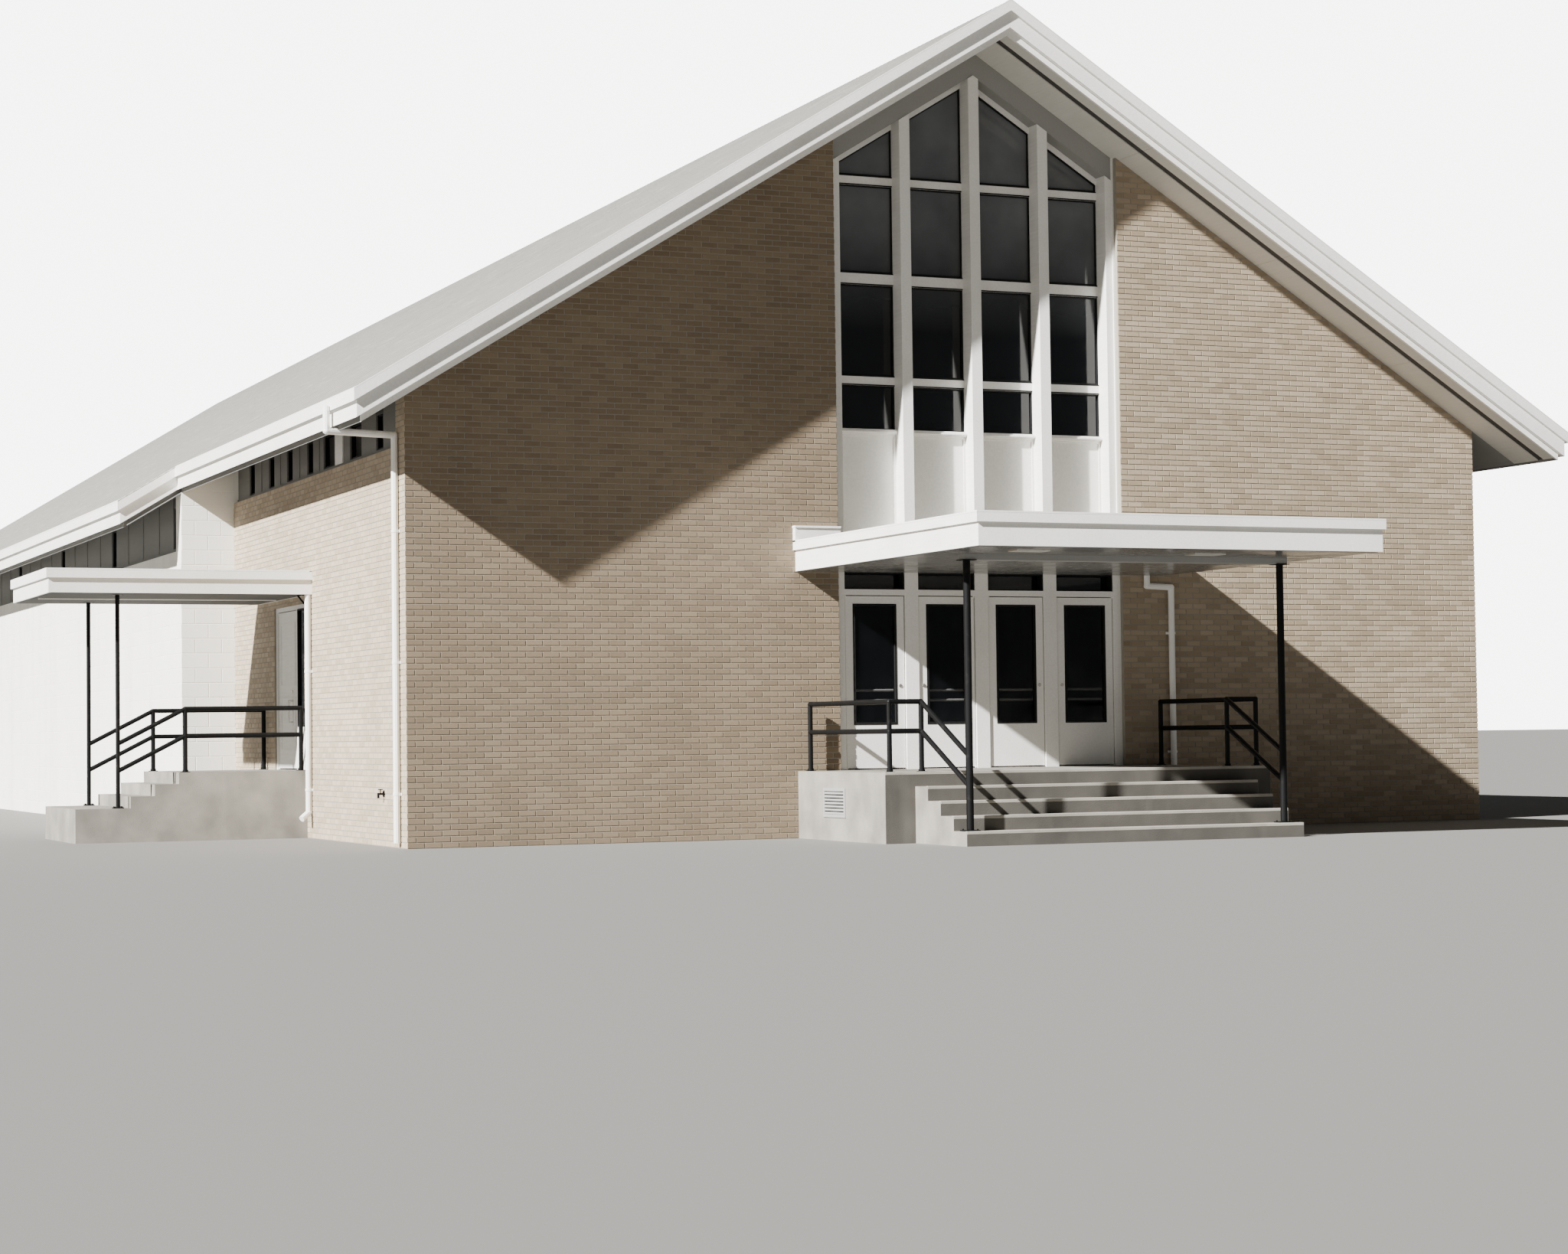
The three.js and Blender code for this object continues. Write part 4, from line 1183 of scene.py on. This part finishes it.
class CHURCH_OT_tall_window(Operator):
    """Fits gaskets, sill noses and panel trims to the tall window"""

    bl_idname = "church.tall_window"
    bl_label = "Tall window"

    def gaskets(self):
        """Gaskets round the panes, lapped a little over the face of the frame"""
        bm = bmesh.new()
        lap = (FRAME_FRONT - DEEP_SEAT, FRAME_FRONT + SEAT)
        for bay in window_bays():
            for low, high in WINDOW_ROWS:
                if high is None:
                    corners = [(x, low) for x in bay]
                    corners += [(x, WINDOW_HEAD - PITCH * abs(x)) for x in reversed(bay)]
                else:
                    corners = rectangle(bay, (low, high))
                    block(bm, bay, lap, (high, high + GASKET))
                block(bm, bay, lap, (low - GASKET, low))
                ring(bm, corners, GASKET, (GLASS_FRONT - SEAT, FRAME_FRONT + GASKET_STEP))
        piece(bm, "window_gaskets", "gasket")

    def execute(self, context):
        self.gaskets()
        foot = WINDOW_ROWS[0][0]
        panel = (CURB_FOOT + PANEL_GAPS[0], foot - PANEL_GAPS[1])
        depths = (FRAME_FRONT + SEAT, FRAME_FRONT - GASKET_STEP)
        panels = [(rectangle(bay, panel), PANEL_TRIM, depths) for bay in window_bays()]
        frame_piece("window_panel_trims", "trim", "white_paint", *panels)
        nose = ((FRAME_FRONT - SILL_DEPTH, FRAME_FRONT), [foot - GASKET - height for height in SILL_HEIGHTS])
        sills = [(bay, *nose) for bay in window_bays()]
        block_piece("window_sill_noses", "trim", "white_paint", *sills, rounding=0.006)
        jambs = [(mirrored(side, BAY_HALF - JAMB_TRIM, BAY_HALF - HAIRLINE), JAMB_DEPTHS,
                  (CURB_FOOT, soffit(BAY_HALF))) for side in SIDES.values()]
        block_piece("window_jamb_trims", "trim", "white_paint", *jambs)
        return {"FINISHED"}


# Front doors: lines of the leaves, and the sides that they hang on
LEAVES = (("1", "left"), ("2", "right"), ("3", "left"), ("4", "right"))
LEAF_FRONT = 0.08
LEAF_THICKNESS = 0.044
LEAF_BACK = LEAF_FRONT + LEAF_THICKNESS
STILE = 0.115
DOOR_LIGHT = (FLOOR + 0.56, FLOOR + 2.0)

# Gaskets of a leaf, on its face and in its reveal: width, how deep they start and how far they stand out
DOOR_LAP = 0.016
FACE_GASKET = (DOOR_LAP - SEAT, SEAT, 0.004)
REVEAL_GASKET = (0.014, 0.014, 0.005)

# Locks: height, and where rose and cylinder start and end before the leaf, with their radius
LOCK_HEIGHT = 1.02
LOCK_RODS = ((0.002, -0.006, 0.022), (-0.004, -0.011, 0.014))

# Transom gaskets: margin beside the leaves, heights above the floor, width and depths
TRANSOM_MARGIN = 0.012
TRANSOM_HEIGHT = (FLOOR + 2.19, FLOOR + 2.4)
TRANSOM_GASKET = (0.016, (0.2, 0.075))

# Side door: setback, width and hanging gap of its leaf, and panels, plate and lock on it
SIDE_LEAF_SETBACK = 0.04
SIDE_LEAF_WIDTH = 1.049
SIDE_LEAF_GAP = 0.01
SIDE_PANEL_MARGIN = 0.14
SIDE_PANEL_LOW = (0.25, 0.95)
SIDE_PANEL_HIGH = (1.1, 0.16)
MOULDING = (0.02, (SEAT, -0.006))
HANDLE_PLACE = 0.3
PLATE_WIDTH_HALF = 0.035
PLATE_HEIGHT = (0.58, 0.92)
PLATE_DEPTHS = (-0.003, SEAT)
SIDE_LOCK = (0.002, -0.01, 0.02)
SIDELIGHT_GASKET = 0.02
SIDELIGHT_FACE = 0.014

# Thresholds: rise above the sill, margins beside the frame, and depths
THRESHOLD_RISE = 0.007
ENTRANCE_MARGIN = 0.105
ENTRANCE_DEPTHS = (0.066, 0.205)
SIDE_THRESHOLD_STEP = 0.006
SIDE_THRESHOLD_MARGINS = (0.5, 0.06)


class CHURCH_OT_doors(Operator):
    """Fits gaskets and locks to the doors, thresholds below them and gaskets to the transom"""

    bl_idname = "church.doors"
    bl_label = "Doors"

    def front_leaf(self, number, hung):
        """Gaskets on both faces of one leaf, and its lock"""
        glass = span(f"front_door_{number}_glass")[0]
        leaf = within(glass, -STILE)
        body = f"front_leaf_{number}"
        light = rectangle(within(glass, -DOOR_LAP), within(DOOR_LIGHT, -DOOR_LAP))
        reveal = rectangle(within(glass, -HAIRLINE), DOOR_LIGHT)
        gaskets = [(corners, width, (face - outward * depth, face + outward * proud))
                   for corners, (width, depth, proud) in ((light, FACE_GASKET), (reveal, REVEAL_GASKET))
                   for face, outward in ((LEAF_FRONT, -1), (LEAF_BACK, 1))]
        frame_piece(f"door_gaskets_{number}", "gasket", "iron_paint", *gaskets, body=body)
        lock = leaf[1] - STILE / 2 if hung == "left" else leaf[0] + STILE / 2
        height = FLOOR + LOCK_HEIGHT
        bm = bmesh.new()
        for start, end, radius in LOCK_RODS:
            rod(bm, (lock, LEAF_FRONT + start, height), (lock, LEAF_FRONT + end, height), radius, FINE_ROUND)
        piece(bm, f"door_lock_{number}", "nickel", body)

    def side_leaf(self):
        """Mouldings, handle plate and lock of the side door"""
        y, (low, high) = span("side_door")[1:]
        hung = y[1] - SIDE_LEAF_GAP
        near = hung - SIDE_LEAF_WIDTH
        place = facing("left", FRONT_HALF - SIDE_LEAF_SETBACK)
        across = within((-hung, -near), SIDE_PANEL_MARGIN)
        heights = ((low + SIDE_PANEL_LOW[0], low + SIDE_PANEL_LOW[1]),
                   (low + SIDE_PANEL_HIGH[0], high - SIDE_PANEL_HIGH[1]))
        mouldings = [(rectangle(across, height), *MOULDING) for height in heights]
        frame_piece("side_door_mouldings", "trim", "white_paint", *mouldings, body="side_leaf", place=place)
        handle = -(near + HANDLE_PLACE)
        lock = low + LOCK_HEIGHT
        start, end, radius = SIDE_LOCK
        bm = bmesh.new()
        plate = [low + height for height in PLATE_HEIGHT]
        block(bm, about(handle, PLATE_WIDTH_HALF), PLATE_DEPTHS, plate)
        rod(bm, (handle, start, lock), (handle, end, lock), radius, FINE_ROUND)
        piece(bm, "side_door_plates", "nickel", "side_leaf", place)

    def thresholds(self):
        """Metal thresholds on the sills of both entrances"""
        front = (within(span("door_frame")[0], ENTRANCE_MARGIN), ENTRANCE_DEPTHS,
                 (FLOOR - SEAT, FLOOR + THRESHOLD_RISE))
        block_piece("entrance_threshold", "nickel", "iron_paint", front, rounding=0.002)
        x, y, z = span("side_door_frame")
        near, far = SIDE_THRESHOLD_MARGINS
        side = ((x[0] + SIDE_THRESHOLD_STEP, x[1]), (y[0] + near, y[1] - far),
                (z[0] - SEAT, z[0] + THRESHOLD_RISE))
        block_piece("side_threshold", "nickel", "iron_paint", side)

    def execute(self, context):
        for number, hung in LEAVES:
            self.front_leaf(number, hung)
        self.side_leaf()
        self.thresholds()
        x, y, z = span("sidelight_glass")
        gasket = (rectangle((-y[1], -y[0]), z), SIDELIGHT_GASKET, (x[0] + FRONT_HALF, SIDELIGHT_FACE))
        frame_piece("sidelight_gasket", "gasket", "iron_paint", gasket, place=facing("left", FRONT_HALF))
        lights = [within(within(span(f"front_door_{number}_glass")[0], -STILE), -TRANSOM_MARGIN)
                  for number, _ in LEAVES]
        gaskets = [(rectangle(across, TRANSOM_HEIGHT), *TRANSOM_GASKET) for across in lights]
        frame_piece("transom_gaskets", "gasket", "iron_paint", *gaskets)
        return {"FINISHED"}


# Front steps: nosings, and faces over the risers, as they stand before and on the concrete
STEPS = 4
NOSE_WIDTH = 0.05
NOSE_LIFT = 0.004
NOSE_DROP = 0.03
NOSE_PROUD = 0.002
NOSE_INSET = 0.003
RISER_PROUD = 0.0012

# Vent in the left face of the landing: place, rim, backing, and slats that lean down to the front
VENT_Y = (-1.36, -0.746)
VENT_Z = (0.27, 0.61)
VENT_RIM = 0.035
VENT_PROUD = 0.012
VENT_BACK_INSET = 0.01
VENT_SLATS = 7
SLAT_INSET = 0.03
SLAT_DEPTHS = (-0.011, -0.001)
SLAT_FOOT = 0.05
SLAT_THICKNESS = 0.35
SLAT_LEAN = 0.3


class CHURCH_OT_steps(Operator):
    """Adds the front steps' nosings with a painted highlight, riser faces with painted shade, and the
    landing's louvre vent
    """

    bl_idname = "church.steps"
    bl_label = "Steps and landings"

    def execute(self, context):
        x, y, z = span("front_steps")
        going = (y[1] - y[0]) / STEPS
        rise = z[1] / STEPS
        flights = [(x, y[0] + going * i, rise * i, rise * (i + 1)) for i in range(STEPS)]
        landing = span("front_landing")
        flights.append((landing[0], landing[1][0], 0, FLOOR))
        nosings = []
        risers = []
        for across, edge, foot, level in flights:
            run = within(across, NOSE_INSET)
            nose = (level - NOSE_DROP, level + NOSE_LIFT)
            nosings.append((run, (edge - NOSE_PROUD, edge + NOSE_WIDTH), nose))
            risers.append((run, (edge - RISER_PROUD, edge + NOSE_WIDTH / 2), (foot + SEAT, nose[0])))
        # The nosings carry a painted highlight
        block_piece("step_nosings", "nosing", "concrete", *nosings, rounding=0.004)
        # The faces over the risers and over the landing's front carry a painted shade
        block_piece("step_risers", "riser", "concrete", *risers)
        self.vent()
        return {"FINISHED"}

    def vent(self):
        """A louvred air vent in the left face of the landing"""
        place = facing("left", -span("front_landing")[0][0])
        across = (-VENT_Y[1], -VENT_Y[0])
        rim = (rectangle(across, VENT_Z), VENT_RIM, (SEAT, -VENT_PROUD))
        frame_piece("landing_vent_frame", "panel", "panel_paint", rim, place=place)
        back = (within(across, VENT_BACK_INSET), (-DEEP_SEAT, SEAT), within(VENT_Z, VENT_BACK_INSET))
        block_piece("landing_vent_back", "iron", "iron_paint", back, place=place)
        bm = bmesh.new()
        gap = (VENT_Z[1] - VENT_Z[0] - 2 * VENT_RIM) / VENT_SLATS
        verts = block(bm, within(across, SLAT_INSET), SLAT_DEPTHS, (0, gap * SLAT_THICKNESS))
        front = [v for v in verts if v.co.y < halfway(SLAT_DEPTHS)]
        bmesh.ops.translate(bm, vec=(0, 0, -gap * SLAT_LEAN), verts=front)
        bmesh.ops.translate(bm, vec=(0, 0, VENT_Z[0] + SLAT_FOOT), verts=bm.verts[:])
        repeat(bm, (VENT_SLATS, (0, 0, gap)))
        piece(bm, "landing_vent_slats", "panel", place=place)


# Rails: flanges under their posts, where the front rails end, and how far the side rails stand off the wall
RAIL_RADIUS = 0.03
FLANGE_RADIUS = 0.062
FLANGE_THICKNESS = 0.008
COLLAR_RADIUS = 0.6 * FLANGE_RADIUS
COLLAR_HEIGHT = 4 * FLANGE_THICKNESS
FLANGE_SIDES = 20
RAIL_WALL_END = -0.12
RAIL_FRONT_END = -2.315
SIDE_RAIL_PLACES = (0.065, 1.54)

# Posts: half widths of the plates, thickness at the foot and the head, and bolts at a part of the half width
CANOPY_PLATE = 0.085
SIDE_PLATE = 0.75 * CANOPY_PLATE
PLATE_THICKNESS = (0.012, 0.01)
BOLT_PLACE = 0.7
BOLT_HEIGHTS = (0.01, 0.026)
BOLT_RADIUS = 0.009

# Rain pipes: gap to the wall's own line, and straps with two ears that lie on the brick
PIPE_RADIUS = 0.04
PIPE_GAP = 0.008
STRAP_HEIGHT = 0.03
STRAP_PROUD = 0.005
STRAP_EAR = 0.025
EAR_DEPTHS = (-0.009, -0.004)
STRAP_SIDES = 16
STRAP_STEP = 1.5
LEFT_STRAPS = (("roof_downspout", 3), ("side_downspout", 2))
LEFT_STRAP_FOOT = 0.6
FRONT_STRAPS = 2
FRONT_STRAP_FOOT = 0.95

# Hose tap: its place on the left wall, and its rods as two ends off the wall and up, radius and sides
TAP_PLACE = (-FRONT_HALF - 0.004, 0.956, 0.61)
TAP_RODS = (
    ((0, 0), (-0.012, 0), 0.035, 20),
    ((0, 0), (-0.075, 0), 0.012, 12),
    ((-0.07, 0.012), (-0.07, -0.05), 0.014, 12),
    ((-0.045, 0), (-0.045, 0.05), 0.007, 10),
    ((-0.045, 0.046), (-0.045, 0.056), 0.028, 16),
)


def flange(bm, x, y, z):
    """A round foot plate with a collar"""
    rod(bm, (x, y, z), (x, y, z + FLANGE_THICKNESS), FLANGE_RADIUS, FLANGE_SIDES)
    rod(bm, (x, y, z), (x, y, z + COLLAR_HEIGHT), COLLAR_RADIUS, FLANGE_SIDES)


class CHURCH_OT_metalwork(Operator):
    """Adds flanges to the rails, plates to the posts, straps to the rain pipes and a hose tap"""

    bl_idname = "church.metalwork"
    bl_label = "Rails, posts and pipes"

    def flanges(self):
        """Flanges under the rails of both porches"""
        bm = bmesh.new()
        for name in SIDES:
            rail = within(span(f"front_rail_{name}")[0], RAIL_RADIUS)
            outer = rail[0] if name == "left" else rail[1]
            inner = halfway(span(f"canopy_post_{name}")[0])
            for x, y in ((outer, RAIL_WALL_END), (outer, RAIL_FRONT_END), (inner, RAIL_FRONT_END)):
                flange(bm, x, y, FLOOR)
        level = span("side_landing")[2][1]
        for name in ("side_post_near", "side_post_far"):
            for reach in SIDE_RAIL_PLACES:
                flange(bm, -FRONT_HALF - reach, halfway(span(name)[1]), level)
        piece(bm, "rail_flanges", "iron")

    def plates(self):
        """Foot and head plates of the posts, bolted down at the foot"""
        bm = bmesh.new()
        for name in ("canopy_post_left", "canopy_post_right", "side_post_near", "side_post_far"):
            x, y, (foot, head) = span(name)
            half = CANOPY_PLATE if name.startswith("canopy") else SIDE_PLATE
            plate = (about(halfway(x), half), about(halfway(y), half))
            block(bm, *plate, (foot, foot + PLATE_THICKNESS[0]))
            block(bm, *plate, (head - PLATE_THICKNESS[1], head))
            for bolt_x in about(halfway(x), BOLT_PLACE * half):
                for bolt_y in about(halfway(y), BOLT_PLACE * half):
                    low, high = (foot + height for height in BOLT_HEIGHTS)
                    rod(bm, (bolt_x, bolt_y, low), (bolt_x, bolt_y, high), BOLT_RADIUS, 6)
        piece(bm, "post_plates", "iron")

    def strap(self, bm, x, y, z, on_front):
        """A band round an upright pipe, with its two ears on the front or the left wall"""
        rod(bm, (x, y, z), (x, y, z + STRAP_HEIGHT), PIPE_RADIUS + STRAP_PROUD, STRAP_SIDES)
        reach = PIPE_RADIUS + STRAP_EAR
        if on_front:
            ears = (about(x, reach), EAR_DEPTHS)
        else:
            ears = ([-FRONT_HALF + depth for depth in EAR_DEPTHS], about(y, reach))
        block(bm, *ears, (z, z + STRAP_HEIGHT))

    def straps(self):
        """Straps up each rain pipe"""
        bm = bmesh.new()
        off_wall = PIPE_RADIUS + PIPE_GAP
        for name, count in LEFT_STRAPS:
            y = span(name)[1][1] - PIPE_RADIUS
            for i in range(count):
                self.strap(bm, -FRONT_HALF - off_wall, y, LEFT_STRAP_FOOT + STRAP_STEP * i, False)
        x = span("canopy_downspout")[0][1] - PIPE_RADIUS
        for i in range(FRONT_STRAPS):
            self.strap(bm, x, -off_wall, FRONT_STRAP_FOOT + STRAP_STEP * i, True)
        piece(bm, "pipe_straps", "sheet")

    def hose_tap(self):
        """Rose, pipe, spout, spindle and wheel of a tap on the left wall"""
        bm = bmesh.new()
        x, y, z = TAP_PLACE
        for start, end, radius, sides in TAP_RODS:
            rod(bm, (x + start[0], y, z + start[1]), (x + end[0], y, z + end[1]), radius, sides)
        piece(bm, "hose_tap", "iron")

    def execute(self, context):
        self.flanges()
        self.plates()
        self.straps()
        self.hose_tap()
        return {"FINISHED"}


# Stage: the eye is where the camera stood, in the building's own metres
EYE = (-16.411, -31.784, 1.2304)
EYE_YAW = 23.35
EYE_PITCH = 2.143
EYE_ROLL = -0.716
LENS_MM = 66.5
SENSOR_MM = 36
VIEW_DEPTH = 500
SUN_TRAVEL = (1.0, 0.34, -0.661)
SUN_SOFTNESS = 1.0
SUN_POWER = 21.5
SKY_LIGHT = 0.14
SKY_LIGHT_COLOUR = "#f4f6fa"
SKY_SHOWN = 7.0
SKY_SHOWN_COLOUR = "#fbfbfa"
FLOOR_SIZE = 900
FLOOR_COLOUR = "#6c6a66"


def stage_camera():
    """The camera, turned about its own axis last"""
    data = bpy.data.cameras.new("view")
    data.lens = LENS_MM
    data.sensor_width = SENSOR_MM
    data.clip_end = VIEW_DEPTH
    camera = add_object("view", data)
    yaw = Matrix.Rotation(-math.radians(EYE_YAW), 4, "Z")
    pitch = Matrix.Rotation(math.radians(90 + EYE_PITCH), 4, "X")
    roll = Matrix.Rotation(math.radians(EYE_ROLL), 4, "Z")
    camera.matrix_world = Matrix.Translation(TO_MODEL @ Vector(EYE)) @ yaw @ pitch @ roll
    bpy.context.scene.camera = camera


def stage_floor():
    """A plain matt floor under the building"""
    bm = bmesh.new()
    bmesh.ops.create_grid(bm, x_segments=1, y_segments=1, size=FLOOR_SIZE / 2)
    floor = mesh_object("stage_floor", bm)
    bm.free()
    finish = Finish("stage_floor_matt", 0.9)
    finish.shader.inputs["Base Color"].default_value = (*srgb(FLOOR_COLOUR), 1)
    floor.data.materials.append(finish.material)


def stage_light():
    """One low sun from the upper left front, and a pale sky all round"""
    data = bpy.data.lights.new("sun", "SUN")
    data.energy = SUN_POWER
    data.angle = math.radians(SUN_SOFTNESS)
    sun = add_object("sun", data)
    sun.rotation_euler = Vector(SUN_TRAVEL).to_track_quat("-Z", "Y").to_euler()
    world = bpy.data.worlds.new("sky")
    world.use_nodes = True
    tree = world.node_tree
    lighting = tree.nodes["Background"]
    lighting.inputs["Color"].default_value = (*srgb(SKY_LIGHT_COLOUR), 1)
    lighting.inputs["Strength"].default_value = SKY_LIGHT
    seen = {"Color": (*srgb(SKY_SHOWN_COLOUR), 1), "Strength": SKY_SHOWN}
    shown = add_node(tree, "ShaderNodeBackground", seen)
    direct = add_node(tree, "ShaderNodeLightPath").outputs["Is Camera Ray"]
    either = add_node(tree, "ShaderNodeMixShader", links={"Fac": direct})
    tree.links.new(lighting.outputs["Background"], either.inputs[1])
    tree.links.new(shown.outputs["Background"], either.inputs[2])
    tree.links.new(either.outputs["Shader"], tree.nodes["World Output"].inputs["Surface"])
    bpy.context.scene.world = world


class CHURCH_OT_stage(Operator):
    """Sets the camera, the floor and the light"""

    bl_idname = "church.stage"
    bl_label = "Stage"

    def execute(self, context):
        stage_camera()
        stage_floor()
        stage_light()
        return {"FINISHED"}


PIECES = (
    CHURCH_OT_finishes,
    CHURCH_OT_brickwork,
    CHURCH_OT_blockwork,
    CHURCH_OT_roofing,
    CHURCH_OT_roof_edges,
    CHURCH_OT_canopies,
    CHURCH_OT_clerestories,
    CHURCH_OT_tall_window,
    CHURCH_OT_doors,
    CHURCH_OT_steps,
    CHURCH_OT_metalwork,
    CHURCH_OT_stage,
)


class CHURCH_PT_sidebar(Panel):
    """Lists the steps that dress the church, with the sizes and colours that they use"""

    bl_idname = "CHURCH_PT_sidebar"
    bl_label = "Brick Church"
    bl_space_type = "VIEW_3D"
    bl_region_type = "UI"
    bl_category = "Church"

    def draw(self, context):
        column = self.layout.column()
        for step in PIECES:
            column.operator(step.bl_idname)
        for group in (context.scene.church_sizes, context.scene.church_colours):
            for name in group.__annotations__:
                column.prop(group, name)


CLASSES = (ChurchColours, ChurchSizes, *PIECES, CHURCH_PT_sidebar)


def register():
    """Adds the classes, and the sizes and colours of the scene"""
    for item in CLASSES:
        bpy.utils.register_class(item)
    bpy.types.Scene.church_colours = PointerProperty(type=ChurchColours)
    bpy.types.Scene.church_sizes = PointerProperty(type=ChurchSizes)


def unregister():
    """Takes all of it away again"""
    del bpy.types.Scene.church_sizes
    del bpy.types.Scene.church_colours
    for item in reversed(CLASSES):
        bpy.utils.unregister_class(item)


def main():
    """Dresses the church step by step"""
    register()
    for step in PIECES:
        group, name = step.bl_idname.split(".")
        getattr(getattr(bpy.ops, group), name)()


if __name__ == "__main__":
    main()
